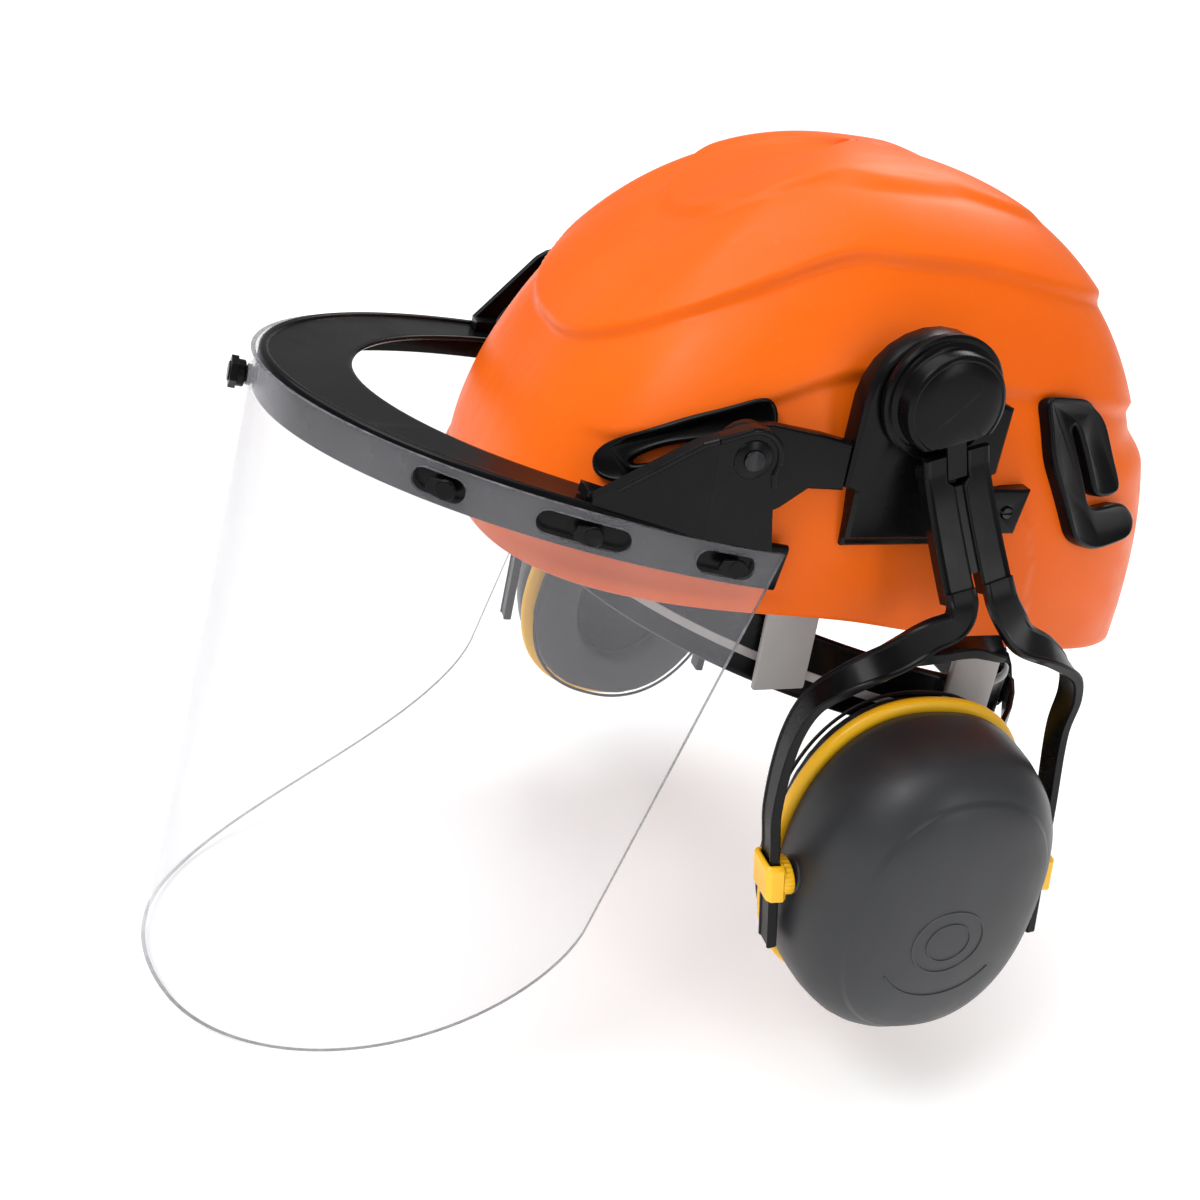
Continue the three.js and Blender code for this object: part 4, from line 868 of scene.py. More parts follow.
def stem_strips(solid):
    """Two flat strips with a groove between them, joined by a thinner web."""
    h = STEM_THICK / 2
    steps = 60
    for side in (-1, 1):
        rings = []
        for i in range(steps + 1):
            drop = mix(STRIP_TOP, STRIP_FOOT, i / steps)
            inner = mix(LUG_HALF + 0.4, GROOVE_HALF, ramp(drop, TILT_PIN_DROP + 3.5, TILT_PIN_DROP + 6))
            low = mix(0.6, -h, ramp(drop, TILT_PIN_DROP - 1.5, TILT_PIN_DROP))
            outer = STEM_WIDTH / 2 + 0.6 * ramp(drop, 20, 70)
            section = strip_section(inner, outer, low, h)
            rings.append(stem_ring(drop, [(side * a, b) for a, b in section]))
        solid.loft(rings)
    web = [(-GROOVE_HALF - 0.2, -h), (GROOVE_HALF + 0.2, -h), (GROOVE_HALF + 0.2, h - 1.3),
           (-GROOVE_HALF - 0.2, h - 1.3)]
    solid.loft([stem_ring(mix(TILT_PIN_DROP + 6, 54, i / 20), web) for i in range(21)])


FORK_WIDTHS = [9.8, 10, 10.5, 11, 11, 10.5, 10, 9.5, ARM_WIDTH, ARM_WIDTH, ARM_WIDTH, ARM_WIDTH, ARM_WIDTH]


def strap_line(knob, start, shoulder):
    """Middle line of one of the fork's straps, from the stem down past its slider."""
    straight = [knob + ARM_DOWN * d for d in (-STRAIGHT_UP, -15, 0, 15, STRAIGHT_DOWN)]
    return start + [Vector(p) for p in shoulder] + straight


def yoke_solid():
    """Stem of two flat strips that flow into the fork's straps, and the fork's cross piece."""
    solid = Solid()
    stem_strips(solid)
    front = strap_line(FRONT_KNOB, [stem_point(0.66, 1.2, -6.4), stem_point(0.78, 1.2, -6.7),
                                    stem_point(0.88, 0.8, -9.5)], FRONT_SHOULDER)
    flat_bar(solid, front, FORK_WIDTHS, STRAP_THICK, 110, [0, 0, 0, 10, 35, 70, 88, 90, 90, 90, 90, 90, 90])
    rear = strap_line(REAR_KNOB, [stem_point(0.66, 1.2, 6.4), stem_point(0.82, 1.2, 6.9),
                                  Vector((127.3, 22.8, 5.9))], REAR_SHOULDER)
    flat_bar(solid, rear, FORK_WIDTHS, STRAP_THICK, 110,
             [0, 0, -10, -30, -60, -85, -90, -90, -90, -90, -90, -90, -90])
    flat_bar(solid, [(125, -9, -9.5), (125, 8.5, -5.5), (125, 24.5, -6.5)], [9, 9], STRAP_THICK, 20,
             [60, 90, 90, 120])
    for start, end in ((-STEM_WIDTH / 2, -5.2), (5.2, STEM_WIDTH / 2)):
        solid.rod(TILT_PIN + STEM_ACROSS * start, TILT_PIN + STEM_ACROSS * end, 3.1, 28)
    return solid


def slider_solid(knob, side):
    """Hollow block round one arm, and the knurled barrel of the cup's pivot beside it."""
    axis = (REAR_KNOB - FRONT_KNOB).normalized()
    up = -ARM_DOWN
    wide = Vector((1, 0, 0))
    solid = Solid()
    half = STRAP_THICK / 2 + GAP
    skin = 1.7

    def frame_ring(a, b, d, chamfer):
        corners = [(-a + chamfer, -b), (a - chamfer, -b), (a, -b + chamfer), (a, b - chamfer),
                   (a - chamfer, b), (-a + chamfer, b), (-a, b - chamfer), (-a, -b + chamfer)]
        return [knob + wide * u + axis * v + up * d for u, v in corners]

    outer_a = 7.2
    outer_b = half + skin
    inner_a = ARM_WIDTH / 2 + GAP
    solid.loft([frame_ring(outer_a - 1.2, outer_b - 0.9, -8, 1.2), frame_ring(outer_a, outer_b, -6.8, 1.6),
                frame_ring(outer_a, outer_b, 6.8, 1.6), frame_ring(outer_a - 1.2, outer_b - 0.9, 8, 1.2),
                frame_ring(inner_a, half, 8, 0.3), frame_ring(inner_a, half, -8, 0.3)], loop=True)
    reach = (REAR_KNOB - FRONT_KNOB).length / 2 - CUP_BOSS_REACH - GAP
    rings = []
    for d, radius, knurl in ((half + 0.4, 5.2, 0), (half + 0.6, 7.0, 0.30), (half + 1.2, 7.2, 0.38),
                             (reach - 0.9, 7.2, 0.38), (reach - 0.3, 6.8, 0.2), (reach, 5.6, 0),
                             (reach - 0.8, 3.2, 0), (half + 1.4, 3.0, 0)):
        centre = knob - axis * side * d
        ring = []
        for i, (c, s) in enumerate(circle(96)):
            r = radius - knurl * (1 if i % 4 < 2 else 0)
            ring.append(centre + wide * r * c + up * r * s)
        rings.append(ring)
    solid.loft(rings, loop=True)
    return solid


def make_muff_frames():
    both_muffs("turret_disc", turret_solid(), "turret", "black_plastic", ["turret"], bevel=0.25,
               sharp=40)
    both_muffs("yoke_frame", yoke_solid(), "yoke", "black_plastic", ["yoke"], bevel=0, sharp=22)
    for name, knob, side in (("front_slider", FRONT_KNOB, -1), ("rear_slider", REAR_KNOB, 1)):
        both_muffs(name + "_grip", slider_solid(knob, side), "sliders", "yellow_plastic",
                   [name], lifted=True, bevel=0.18, sharp=40)


make_muff_frames()

# --------------------------------------------------------------------- ear cups

KNOB_AXIS = (REAR_KNOB - FRONT_KNOB).normalized()
CUP_CENTRE = (REAR_KNOB + FRONT_KNOB) / 2
CUP_TURN = atan2(KNOB_AXIS.z, KNOB_AXIS.y)
CUP_POWER = 2.35
EMBLEM_Y = 21.5
EMBLEM_Z = -111


def cup_ring(x, half_length, half_height, count=112):
    """Rounded oval across the cup's depth, in the cup's own turned frame."""
    ring = []
    for c, s in circle(count):
        u = half_length * power_of(c, 2 / CUP_POWER)
        v = half_height * power_of(s, 2 / CUP_POWER)
        ring.append(Vector((x, CUP_CENTRE.y + u * cos(CUP_TURN) - v * sin(CUP_TURN),
                            CUP_CENTRE.z + u * sin(CUP_TURN) + v * cos(CUP_TURN))))
    return ring


# Shares of the cup's depth, and of its fore-aft and vertical size there. The pair of
# close rows is the soft ridge that bounds the raised face.
CUP_ROWS = [(0.06, 0.975, 0.975), (0.09, 0.99, 0.99), (0.16, 1.0, 1.0), (0.28, 0.998, 0.998),
            (0.40, 0.99, 0.99), (0.52, 0.968, 0.972), (0.62, 0.94, 0.95), (0.71, 0.895, 0.915),
            (0.785, 0.835, 0.87), (0.835, 0.778, 0.822), (0.845, 0.762, 0.808), (0.868, 0.752, 0.80),
            (0.885, 0.735, 0.785), (0.92, 0.66, 0.72), (0.955, 0.545, 0.61), (0.98, 0.41, 0.47),
            (0.993, 0.27, 0.32), (1.0, 0.13, 0.16), (1.001, 0.01, 0.012)]


def cup_solid():
    """Hollow cup with a boss and a stub of axle on its front and rear sides."""
    solid = Solid()
    outer = [cup_ring(CUP_PLANE_X + CUP_DEPTH * d, CUP_HALF_LENGTH * a, CUP_HALF_HEIGHT * b)
             for d, a, b in CUP_ROWS]
    inner = [cup_ring(CUP_PLANE_X + max((CUP_DEPTH - CUP_WALL) * d, CUP_DEPTH * 0.06),
                      max(CUP_HALF_LENGTH * a - CUP_WALL, 0.3), max(CUP_HALF_HEIGHT * b - CUP_WALL, 0.3))
             for d, a, b in CUP_ROWS]
    solid.loft(inner[::-1] + outer)
    for outward in (-KNOB_AXIS, KNOB_AXIS):
        solid.rod(CUP_CENTRE + outward * 43, CUP_CENTRE + outward * CUP_BOSS_REACH, 7, 40, 0.5)
        solid.rod(CUP_CENTRE + outward * 46, CUP_CENTRE + outward * 50.5, 2.4, 24)
    return solid


def on_cup(tree, y, z, lift=0.0):
    hit, normal, _, _ = tree.ray_cast(Vector((200, y, z)), Vector((-1, 0, 0)))
    return hit + normal * lift if normal.x > 0 else hit - normal * lift


def cup_emblem(solid, tree):
    """Two plain raised rings on the face, and a shallow arc moulded below them."""
    for radius, width, start, end in ((13.5, 0.55, 0, 360), (8.2, 0.4, 0, 360), (25, 0.4, 215, 325)):
        steps = 96
        closed = end - start == 360
        rings = []
        for i in range(steps if closed else steps + 1):
            turn = radians(mix(start, end, i / steps))
            centre = on_cup(tree, EMBLEM_Y + radius * cos(turn), EMBLEM_Z + radius * sin(turn), 0.05)
            outward = Vector((0, cos(turn), sin(turn)))
            rings.append([centre + outward * width * a + Vector((b, 0, 0))
                          for a, b in ((-1, -0.4), (-0.55, 0.3), (0.55, 0.3), (1, -0.4))])
        solid.loft(rings, loop=closed)


def oval_frame(rows):
    return Solid().loft([cup_ring(CUP_PLANE_X + x, CUP_HALF_LENGTH + grow, CUP_HALF_HEIGHT + grow)
                         for x, grow in rows], loop=True)


def make_cups():
    cup = cup_solid()
    tree = BVHTree.FromPolygons(cup.verts, cup.faces)
    cup_emblem(cup, tree)
    both_muffs("cup_shell", cup, "cup", "charcoal_plastic", ["cup"], lifted=True,
               bevel=0, sharp=42)
    trim = oval_frame([(-2, 1.2), (-1.4, 2.0), (0.3, 2.3), (1.6, 2.0), (2.5, 1.1), (2.65, -1),
                       (2.65, -9), (-2, -9)])
    both_muffs("trim_band", trim, "cup", "yellow_plastic", ["trim_ring"], lifted=True,
               bevel=0, sharp=50)


make_cups()


def inflate(obj, voxel=3.5, cap=2.0, pressure=4.0):
    """Fills a pad by a short cloth simulation, then keeps each point near its start."""
    even = obj.modifiers.new("Even", "REMESH")
    even.mode = "VOXEL"
    even.voxel_size = voxel * MM
    bpy.context.view_layer.objects.active = obj
    bpy.ops.object.modifier_apply(modifier=even.name)
    start = [v.co.copy() for v in obj.data.vertices]
    cloth = obj.modifiers.new("Fill", "CLOTH")
    cloth.settings.use_pressure = True
    cloth.settings.uniform_pressure_force = pressure
    cloth.settings.effector_weights.gravity = 0
    for step in range(1, 21):
        scene.frame_set(step)
    filled = obj.evaluated_get(bpy.context.evaluated_depsgraph_get())
    ends = [v.co.copy() for v in filled.data.vertices]
    obj.modifiers.remove(cloth)
    scene.frame_set(1)
    for vertex, a, b in zip(obj.data.vertices, start, ends):
        move = b - a
        if move.length > cap * MM:
            move = move.normalized() * cap * MM
        vertex.co = a + move
    obj.data.shade_smooth()


def soft_solid(name, solid):
    """The solid filled out by a simulation on a throwaway object."""
    obj = bpy.data.objects.new(name + "_work", mesh_of(name, solid))
    scene.collection.objects.link(obj)
    inflate(obj)
    done = Solid()
    done.verts = [v.co / MM for v in obj.data.vertices]
    done.faces = [tuple(p.vertices) for p in obj.data.polygons]
    bpy.data.objects.remove(obj)
    return done


def make_ear_cushions():
    deep = 2.35 + CUSHION_THICK
    rows = [(-2.6, -3), (-4, -1.8), (-7, -1.4), (-deep + 3.2, -2.4), (-deep + 1.2, -5.5),
            (-deep + 0.9, -12), (-deep + 1.6, -20), (-deep + 4, -24), (-5, -25), (-2.6, -24)]
    cushion = soft_solid("ear_cushion", oval_frame(rows))
    for pad in both_muffs("ear_cushion_pad", cushion, "cup", "black_vinyl", ["ear_cushion"],
                          lifted=True, bevel=0, sharp=0, subdivide=1):
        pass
    seam = oval_frame([(-deep + 3.0, -1.2), (-deep + 2.4, -1.0), (-deep + 2.0, -1.9), (-deep + 2.8, -2.4)])
    both_muffs("ear_cushion_seam", seam, "cup", "black_vinyl", [], lifted=True, bevel=0, sharp=50)
    near = CUP_PLANE_X + 10
    rows = [(near + 1.2, 30, 44), (near, 33, 47), (near + 3, 34.6, 48.6), (near + 18, 34, 48),
            (near + 24, 29, 42), (near + 26, 22, 34)]
    foam = Solid().loft([cup_ring(x, a, b, 72) for x, a, b in rows])
    for pad in both_muffs("cup_liner_foam", foam, "cup", "grey_foam", ["cup_liner"], lifted=True,
                          bevel=0, sharp=0, subdivide=1):
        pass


make_ear_cushions()

# ------------------------------------------------------------------------ visor

CARRIER_FORWARD = Vector((0, -cos(CARRIER_PITCH), sin(CARRIER_PITCH)))
CARRIER_UP = Vector((0, sin(CARRIER_PITCH), cos(CARRIER_PITCH)))


def on_carrier(u, v, h):
    return CARRIER_ORIGIN + Vector((u, 0, 0)) + CARRIER_FORWARD * v + CARRIER_UP * h


def carrier_curve(half_width, reach, count):
    curve = []
    for i in range(count + 1):
        t = pi * i / count
        curve.append(Vector((half_width * power_of(cos(t), 2 / CARRIER_POWER),
                             reach * sin(t) ** (2 / CARRIER_POWER) if 0 < i < count else 0.0)))
    tail = [Vector((half_width, -CARRIER_TAIL * f)) for f in (1, 0.5)]
    return tail + curve + [Vector((-p.x, p.y)) for p in reversed(tail)]


def carrier_band(solid):
    """Band and ledge in one. The ledge is cut back wherever it would reach into the shell."""
    count = 200
    outer = carrier_curve(CARRIER_HALF_WIDTH, CARRIER_REACH, count)
    lip = carrier_curve(LEDGE_HALF_WIDTH, LEDGE_REACH, count)
    rings = []
    for start, end in zip(outer, lip):
        reach = 1.0
        while reach > 0.12 and not outside_shell(on_carrier(*start.lerp(end, reach), -1.5), 1.6):
            reach -= 0.02
        edge = start.lerp(end, reach)
        inward = (edge - start).normalized()
        width = (edge - start).length
        widest = max(width, CARRIER_WALL + 0.2)
        steps = [(0, -14.6), (0, -1.0), (0.5, -0.2), (1.3, 0.25), (2.2, 0.2), (2.9, -0.2), (3.3, -1.0),
                 (max(width - 2.2, 3.5), -1.15), (width - 0.9, -1.1), (width - 0.2, -1.6), (width, -2.2),
                 (width - 0.6, -LEDGE_THICK), (CARRIER_WALL, -LEDGE_THICK - 0.1), (CARRIER_WALL, -14.6),
                 (CARRIER_WALL - 0.7, -CARRIER_BAND), (0.7, -CARRIER_BAND)]
        rings.append([on_carrier(*(start + inward * min(d, widest)), h) for d, h in steps])
    solid.loft(rings)


def side_plate_solid():
    """Hinge plate that bends inwards to the ledge, with a rounded rim, and the ledge's ribs."""
    lean = 0.42
    bend = -78

    def place(y, z, x):
        return Vector((x - lean * max(0, bend - y), y, z))

    solid = Solid()
    rear = [(-54.5, 20.5), (-56.5, 31.5), (-58, 42), *arc(HINGE_Y, HINGE_Z, 10, -30, 100, 14),
            (bend, 58), (bend, 24.6)]
    front = [(bend + 0.2, 58), (-82, 56), (-94, 46), (-104, 37.5), (-110, 32.5), (-110, 30.2),
             (-88, 26.8), (bend + 0.2, 24.6)]
    solid.prism(rear, place, SIDE_PLATE_X, SIDE_PLATE_X + SIDE_PLATE_THICK)
    solid.prism(front, place, SIDE_PLATE_X, SIDE_PLATE_X + SIDE_PLATE_THICK)
    rim = [(-58, 42), *arc(HINGE_Y, HINGE_Z, 8.8, -30, 100, 14), (bend, 56.6), (-82, 54.6),
           (-93.5, 44.8), (-103.4, 36.5)]
    for a, b in zip(rim, rim[1:]):
        solid.rod(place(*a, SIDE_PLATE_X + SIDE_PLATE_THICK - 0.3),
                  place(*b, SIDE_PLATE_X + SIDE_PLATE_THICK - 0.3), 1.1, 10)
    solid.rod((SIDE_PLATE_X, HINGE_Y, HINGE_Z), (SIDE_PLATE_X + SIDE_PLATE_THICK + 0.5, HINGE_Y, HINGE_Z),
              6.2, 48, 0.4)
    foot = [(97, 5), (SIDE_PLATE_X + 2, 5), (SIDE_PLATE_X + 2, 24), (SIDE_PLATE_X - 13, 60), (81, 60),
            (97, 24)]
    solid.prism(foot, on_carrier, -0.5, 3)
    for i in range(5):
        v = 30 + 6 * i
        solid.prism([(90 - 0.3 * i * i, v), (99 - 0.5 * i * i, v), (99 - 0.5 * i * i, v + 1.2),
                     (90 - 0.3 * i * i, v + 1.2)], on_carrier, -1, 1.2)
    return solid


def knob_seat(d):
    return on_carrier(0, CARRIER_REACH + d, -CARRIER_BAND + 5)


def carrier_arc():
    """Place and outward direction on the clear sheet's inner face, by length from its middle."""
    pts = [Vector(p) for p in carrier_curve(CARRIER_HALF_WIDTH + LENS_GAP, CARRIER_REACH + LENS_GAP, 400)]
    lengths = [0.0]
    for a, b in zip(pts, pts[1:]):
        lengths.append(lengths[-1] + (b - a).length)
    total = lengths[-1]

    def at(s):
        want = clamp(total / 2 - s, 0, total)
        low, high = 1, len(pts) - 1
        while low < high:
            middle = (low + high) // 2
            if lengths[middle] < want:
                low = middle + 1
            else:
                high = middle
        share = (want - lengths[low - 1]) / max(lengths[low] - lengths[low - 1], 1e-9)
        side = (pts[low] - pts[low - 1]).normalized()
        return pts[low - 1].lerp(pts[low], share), Vector((side.y, -side.x))

    return at


LENS_ARC = carrier_arc()


def lens_spot(s, h, out):
    """Place on the clear sheet: s round from its middle, h down, out from its inner face."""
    spot, outward = LENS_ARC(s)
    return on_carrier(*(spot + outward * out), -h)


def lens_half(h):
    """Half the sheet's length round at a height, tapering and then rounding at its corners."""
    straight = mix(LENS_TOP_ARC, LENS_HALF_ARC, (h - LENS_TOP) / (LENS_DROP - LENS_TOP))
    q = clamp((h - LENS_DROP + LENS_CORNER_RISE) / LENS_CORNER_RISE)
    return straight - LENS_CORNER_ARC * (1 - (1 - q ** LENS_CORNER_POWER) ** (1 / LENS_CORNER_POWER))


def stadium_cutter(s, half):
    """Long rounded block through the sheet, to cut one slot."""
    centre = lens_spot(s, SLOT_DROP, 0)
    ahead = (lens_spot(s - 5, SLOT_DROP, 0) - centre).normalized()
    normal = ahead.cross(CARRIER_UP).normalized()
    ends = arc(half - SLOT_HALF_HEIGHT, 0, SLOT_HALF_HEIGHT, -90, 90, 16)
    ends += arc(SLOT_HALF_HEIGHT - half, 0, SLOT_HALF_HEIGHT, 90, 270, 16)
    return Solid().prism(ends, lambda u, v, w: centre + ahead * u + CARRIER_UP * v + normal * w, -6, 6)


def sheet_face(out, rows=24, columns=80):
    """Grid on one face of the clear sheet's full curve."""
    verts = []
    for r in range(rows + 1):
        for c in range(columns + 1):
            verts.append(lens_spot(LENS_TOP_ARC * (2 * c / columns - 1), LENS_DROP * r / rows, out))
    wide = columns + 1
    faces = [(r * wide + c, r * wide + c + 1, (r + 1) * wide + c + 1, (r + 1) * wide + c)
             for r in range(rows) for c in range(columns)]
    return verts, faces


def make_lens():
    rows, columns = ((64, 150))
    rings = []
    for r in range(rows + 1):
        h = LENS_TOP + (LENS_DROP - LENS_TOP) * min(1, sin(pi / 2 * r / rows))
        half = lens_half(h)
        ring = [lens_spot(half * (2 * c / columns - 1), h, 0) for c in range(columns + 1)]
        ring += [lens_spot(half * (1 - 2 * c / columns), h, LENS_THICK) for c in range(columns + 1)]
        rings.append(ring)
    lens = piece("clear_shield", Solid().loft(rings), "visor", "clear_sheet", ["visor_lens"],
                 bevel=0, sharp=40)
    tools = Solid()
    for side in (-1, 1):
        for s, half in zip(SLOT_ARCS, SLOT_HALF_LENGTHS):
            tools.add(stadium_cutter(side * s, half))
    tools.rod(knob_seat(-6), knob_seat(8), 3.6, 32)
    mesh = bpy.data.meshes.new("slot_cutters")
    mesh.from_pydata([v * MM for v in tools.verts], [], tools.faces)
    cutter = bpy.data.objects.new("slot_cutters", mesh)
    scene.collection.objects.link(cutter)
    cut = lens.modifiers.new("Slots", "BOOLEAN")
    cut.operation = "DIFFERENCE"
    cut.solver = "EXACT"
    cut.object = cutter
    bpy.context.view_layer.update()
    holed = bpy.data.meshes.new_from_object(lens.evaluated_get(bpy.context.evaluated_depsgraph_get()))
    lens.modifiers.clear()
    lens.data = holed
    holed.set_sharp_from_angle(angle=radians(40))
    # The sheet's cut edges get a dark grey material: a painted shade line round the sheet and its slots.
    holed.materials.append(CLEAR_EDGE)
    verts, faces = sheet_face(0.5 * LENS_THICK)
    arc_tree = BVHTree.FromPolygons([v * MM for v in verts], faces)
    for face in holed.polygons:
        _, normal, _, _ = arc_tree.find_nearest(face.center)
        if abs(normal.dot(face.normal)) < 0.6:
            face.material_index = 1
    bpy.data.objects.remove(cutter)


def make_studs():
    """Studs that the sheet's slots catch on, three on each side, with a tongue under each head."""
    for side, word in ((1, "left"), (-1, "right")):
        for i, s in enumerate(SLOT_ARCS):
            at = side * (s + 3)
            foot, neck, under, centre, head = [
                lens_spot(at, SLOT_DROP, out)
                for out in (-0.7, LENS_THICK + 1.6, LENS_THICK + 0.8, LENS_THICK + 1.55, LENS_THICK + 2.3)]
            solid = Solid().rod(foot, neck, 2.4, 32)
            solid.rod(under, head, 3.4, 40, 0.5)
            tongue = [(-5.5, -2.4), (0, -3.2), (0, 3.2), (-5.5, 2.4), (-6.4, 0)]
            ahead = (lens_spot(at - side * 4, SLOT_DROP, LENS_THICK + 1.55) - centre).normalized()
            normal = ahead.cross(CARRIER_UP).normalized()
            solid.prism(tongue, lambda u, v, w: centre - ahead * u + CARRIER_UP * v + normal * w, -0.6, 0.6)
            piece(f"hook_stud_{i + 1}_{word}", solid, "visor", "black_plastic",
                  [f"lens_stud_{i + 1}_{word}"], bevel=0.25, sharp=40)


def make_visor():
    solid = Solid()
    carrier_band(solid)
    plate = side_plate_solid()
    solid.add(plate).add(plate.mirrored())
    piece("carrier_frame", solid, "visor", "black_plastic", ["visor_carrier"], bevel=0.35, sharp=48)
    make_lens()
    make_studs()


make_visor()

# ------------------------------------------------------------------- suspension


def band_low(y):
    return BAND_LOW_Z - BAND_SLOPE * (y - BAND_CENTRE_Y)


def band_point(azimuth, out, up):
    y = BAND_CENTRE_Y - (BAND_HALF_LENGTH + out) * power_of(cos(azimuth), 2 / 2.2)
    x = (BAND_HALF_WIDTH + out) * power_of(sin(azimuth), 2 / 2.2)
    return Vector((x, y, band_low(y) + up))


def band_strip(start, end, profile, steps):
    rings = []
    for i in range(steps + 1):
        azimuth = radians(mix(start, end, i / steps))
        rings.append([band_point(azimuth, out, up) for out, up in profile])
    return Solid().loft(rings)


def make_headband():
    top = BAND_HEIGHT
    profile = [(0, 0.8), (0.5, 0), (1.5, 0), (2.4, 0.8), (2.4, 2.4), (BAND_THICK, 3.2),
               (BAND_THICK, top - 3.2), (2.4, top - 2.4), (2.4, top - 0.8), (1.5, top), (0.5, top),
               (0, top - 0.8)]
    piece("headband_strip", band_strip(-152, 152, profile, 160), "helmet", "black_plastic",
          ["headband"], bevel=0.2, sharp=50)
    stripe = [(BAND_THICK - 0.4, 8.5), (BAND_THICK + 0.35, 8.8), (BAND_THICK + 0.35, 12.2),
              (BAND_THICK - 0.4, 12.5)]
    piece("headband_stripe", band_strip(-128, 128, stripe, 140), "helmet", "grey_plastic", bevel=0)
    pad_section = [(-5.0, 3), (-1.9, 2.4), (-1.9, top - 2.4), (-5.0, top - 3)]
    brow = soft_solid("brow_pad", band_strip(-70, 70, pad_section, 60))
    pad = piece("brow_pad_cloth", brow, "helmet", "black_cloth", ["brow_pad"], bevel=0, sharp=0,
                subdivide=1)
    for up in (1.5, top - 1.5):
        section = [(-3.2, up - 0.7), (-1.2, up - 0.7), (-1.2, up + 0.7), (-3.2, up + 0.7)]
        welt = band_strip(-71, 71, section, 90)
        piece("brow_pad_welt_low" if up < 5 else "brow_pad_welt_high", welt, "helmet", "black_cloth",
              bevel=0.3)


def crown_strap(side, raise_by):
    """Webbing that crosses the crown from one side's front to the other side's rear."""
    front_y, rear_y, top = -29, 52, 94 + raise_by
    path = smooth_path([(side * 85, front_y, 8), (side * 76, -26, 42), (side * 52, -18, 75), (0, 6, top),
                        (-side * 52, 34, 72), (-side * 73, 46, 40), (-side * 78, rear_y - 1, 13)])
    middle = Vector((0, 8, 0))
    rings = []
    samples = 90
    for i in range(samples + 1):
        t = i / samples
        centre = path(t)
        tangent = direction(path, t)
        across = tangent.cross(centre - middle).normalized()
        out = across.cross(tangent).normalized()
        profile = [(-9, -0.5), (-8.2, -0.7), (8.2, -0.7), (9, -0.5), (9, 0.5), (8.2, 0.75), (7.4, 0.45),
                   (-7.4, 0.45), (-8.2, 0.75), (-9, 0.5)]
        rings.append([centre + across * a + out * b for a, b in profile])
    return Solid().loft(rings)


def make_crown():
    for name, side, raise_by in (("crown_strap_low", 1, 0), ("crown_strap_high", -1, 4)):
        piece(name + "_webbing", crown_strap(side, raise_by), "helmet", "black_webbing", [name],
              bevel=0, sharp=50)
    rings = []
    for z, r in ((86.2, 6), (86.2, 20), (86.4, 28), (87.8, 31), (89.4, 28.5), (90.2, 20), (90.4, 6)):
        rings.append([Vector((r * c, 6 + 1.15 * r * s, z - 0.0062 * r * r)) for c, s in circle(48)])
    pad = piece("crown_pad_cloth", Solid().loft(rings), "helmet", "black_cloth", ["crown_pad"],
                bevel=0, sharp=0, subdivide=1)


make_headband()
make_crown()

# ------------------------------------------------- pieces with the frame's shape

PLAIN = {
    "helmet": [("hub_housing", "black_plastic", 0.7), ("screw_plate", "black_plastic", 0.5),
               ("plate_screw", "steel", 0.2), ("visor_arm", "black_plastic", 0.6),
               ("hinge_pin", "steel", 0.4), ("front_hanger", "grey_plastic", 0.4),
               ("rear_hanger", "grey_plastic", 0.4)],
    "turret": [("tilt_pin", "black_plastic", 0.2)],
}


def make_plain_pieces():
    for body, rows in PLAIN.items():
        for node, slot, bevel in rows:
            for side in ("left", "right"):
                owner = body if body == "helmet" else f"{body}_{side}"
                refined(f"{node}_{side}", owner, slot, bevel)
    refined("nape_housing", "helmet", "black_plastic", 0.6)
    refined("nape_knob", "nape_knob", "black_plastic", 0.4, 60)
    refined("nape_pinion", "nape_knob", "grey_plastic", 0.1)
    for side in ("left", "right"):
        refined(f"size_strap_{side}", f"size_strap_{side}", "black_plastic", 0.15)


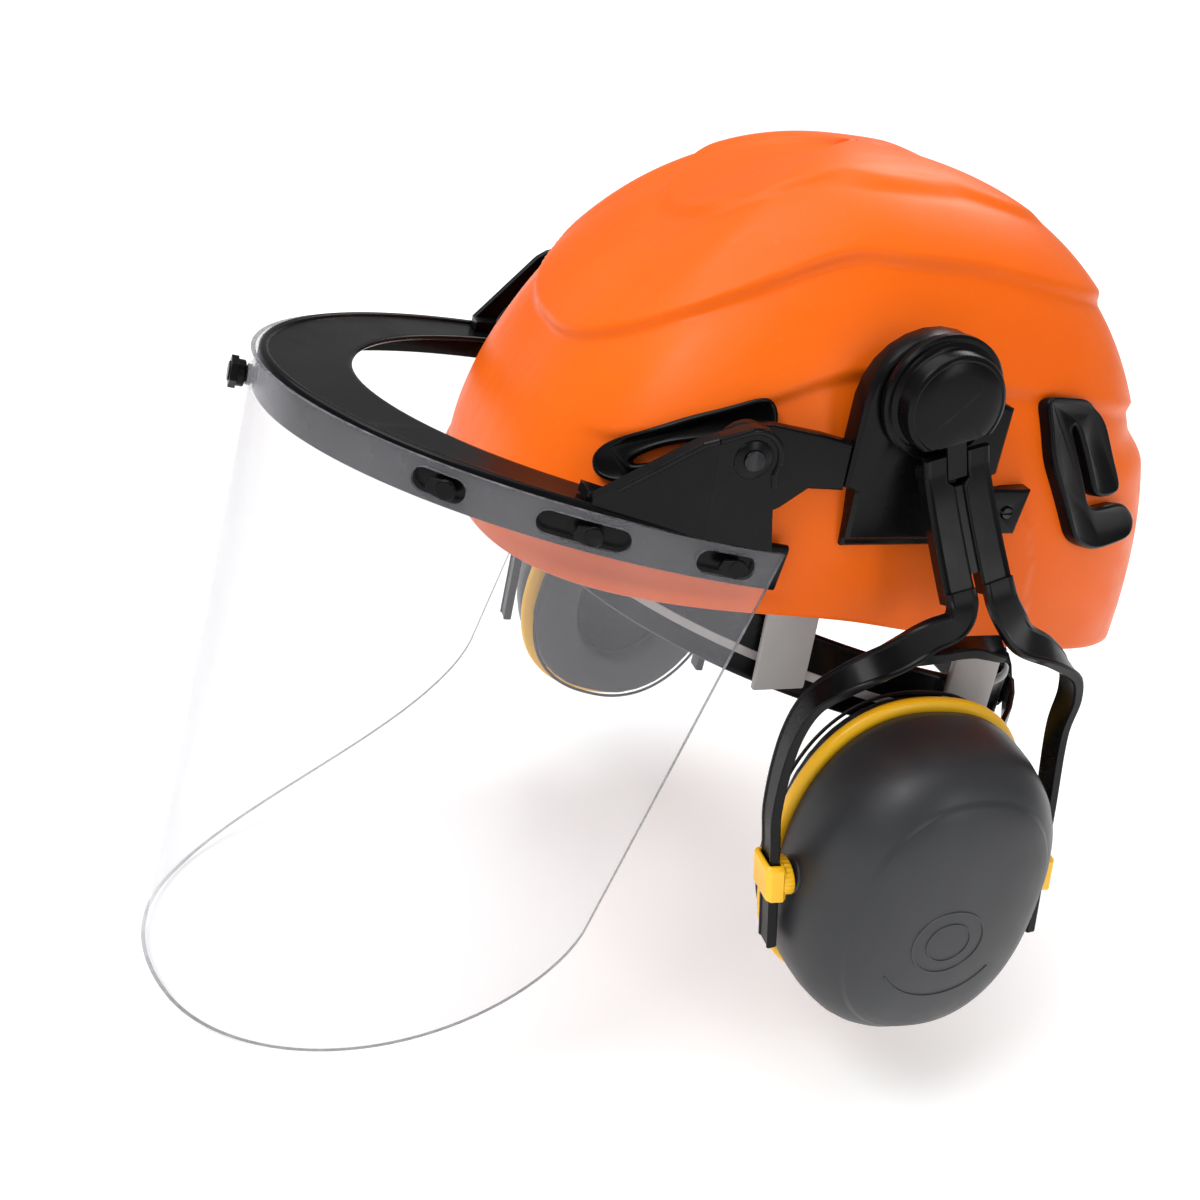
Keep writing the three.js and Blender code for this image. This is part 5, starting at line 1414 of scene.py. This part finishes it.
def make_clamp_knob():
    """Hexagonal thumb screw with a collar at the front of the carrier."""
    face = LENS_GAP + LENS_THICK + 0.5
    solid = Solid().rod(knob_seat(face), knob_seat(face + 3), 4.6, 40, 0.4)
    solid.rod(knob_seat(face + 2.5), knob_seat(face + 5), 5.6, 6)
    solid.rod(knob_seat(face + 4.5), knob_seat(face + 5.6), 3.4, 32, 0.3)
    solid.rod(knob_seat(-8), knob_seat(face + 1), 2.9, 24)
    piece("clamp_screw", solid, "clamp_knob", "black_plastic", ["clamp_knob"], bevel=0.5)


make_plain_pieces()
make_clamp_knob()

# ------------------------------------------------------------ floor and lights


def make_floor():
    low = CAD_BOX[0][2] - 0.002
    size = 400
    mesh = bpy.data.meshes.new("floor")
    mesh.from_pydata([(-size, -size, low), (size, -size, low), (size, size, low), (-size, size, low)], [],
                     [(0, 1, 2, 3)])
    floor = bpy.data.objects.new("floor", mesh)
    scene.collection.objects.link(floor)
    surface = Surface("floor_paper", Roughness=0.9, Specular_IOR_Level=0.1)
    surface.shader.inputs["Emission Color"].default_value = (1, 1, 1, 1)
    surface.shader.inputs["Emission Strength"].default_value = 0.32
    surface.set("Base Color", surface.colour((0.86, 0.86, 0.86), (0.88, 0.88, 0.88),
                                             surface.noise(0.5, 2)))
    mesh.materials.append(surface.material)


def area_light(name, place, target, size, power):
    data = bpy.data.lights.new(name, "AREA")
    data.shape = "RECTANGLE"
    data.size, data.size_y = size
    data.energy = power
    light = bpy.data.objects.new(name, data)
    scene.collection.objects.link(light)
    light.location = place
    light.rotation_euler = (Vector(place) - Vector(target)).to_track_quat("Z", "Y").to_euler()


def make_lights():
    world = bpy.data.worlds.new("studio")
    world.use_nodes = True
    world.node_tree.nodes["Background"].inputs["Color"].default_value = (1, 1, 1, 1)
    world.node_tree.nodes["Background"].inputs["Strength"].default_value = 0.32
    scene.world = world
    area_light("key", (0.5, -1.1, 1.3), (0, 0, 0), (0.8, 0.6), 12)
    area_light("side", (1.5, 0.5, 0.7), (0, 0, 0), (0.35, 1.0), 6)
    area_light("rear", (-0.9, 0.9, 1.1), (0, 0, 0), (0.8, 0.5), 7)
    data = bpy.data.lights.new("overcast", "SUN")
    data.energy = 2.2
    data.angle = radians(60)
    overcast = bpy.data.objects.new("overcast", data)
    scene.collection.objects.link(overcast)
    overcast.rotation_euler = (radians(18), radians(-12), 0)
    scene.view_settings.view_transform = "Standard"


make_floor()
make_lights()

bpy.context.view_layer.update()
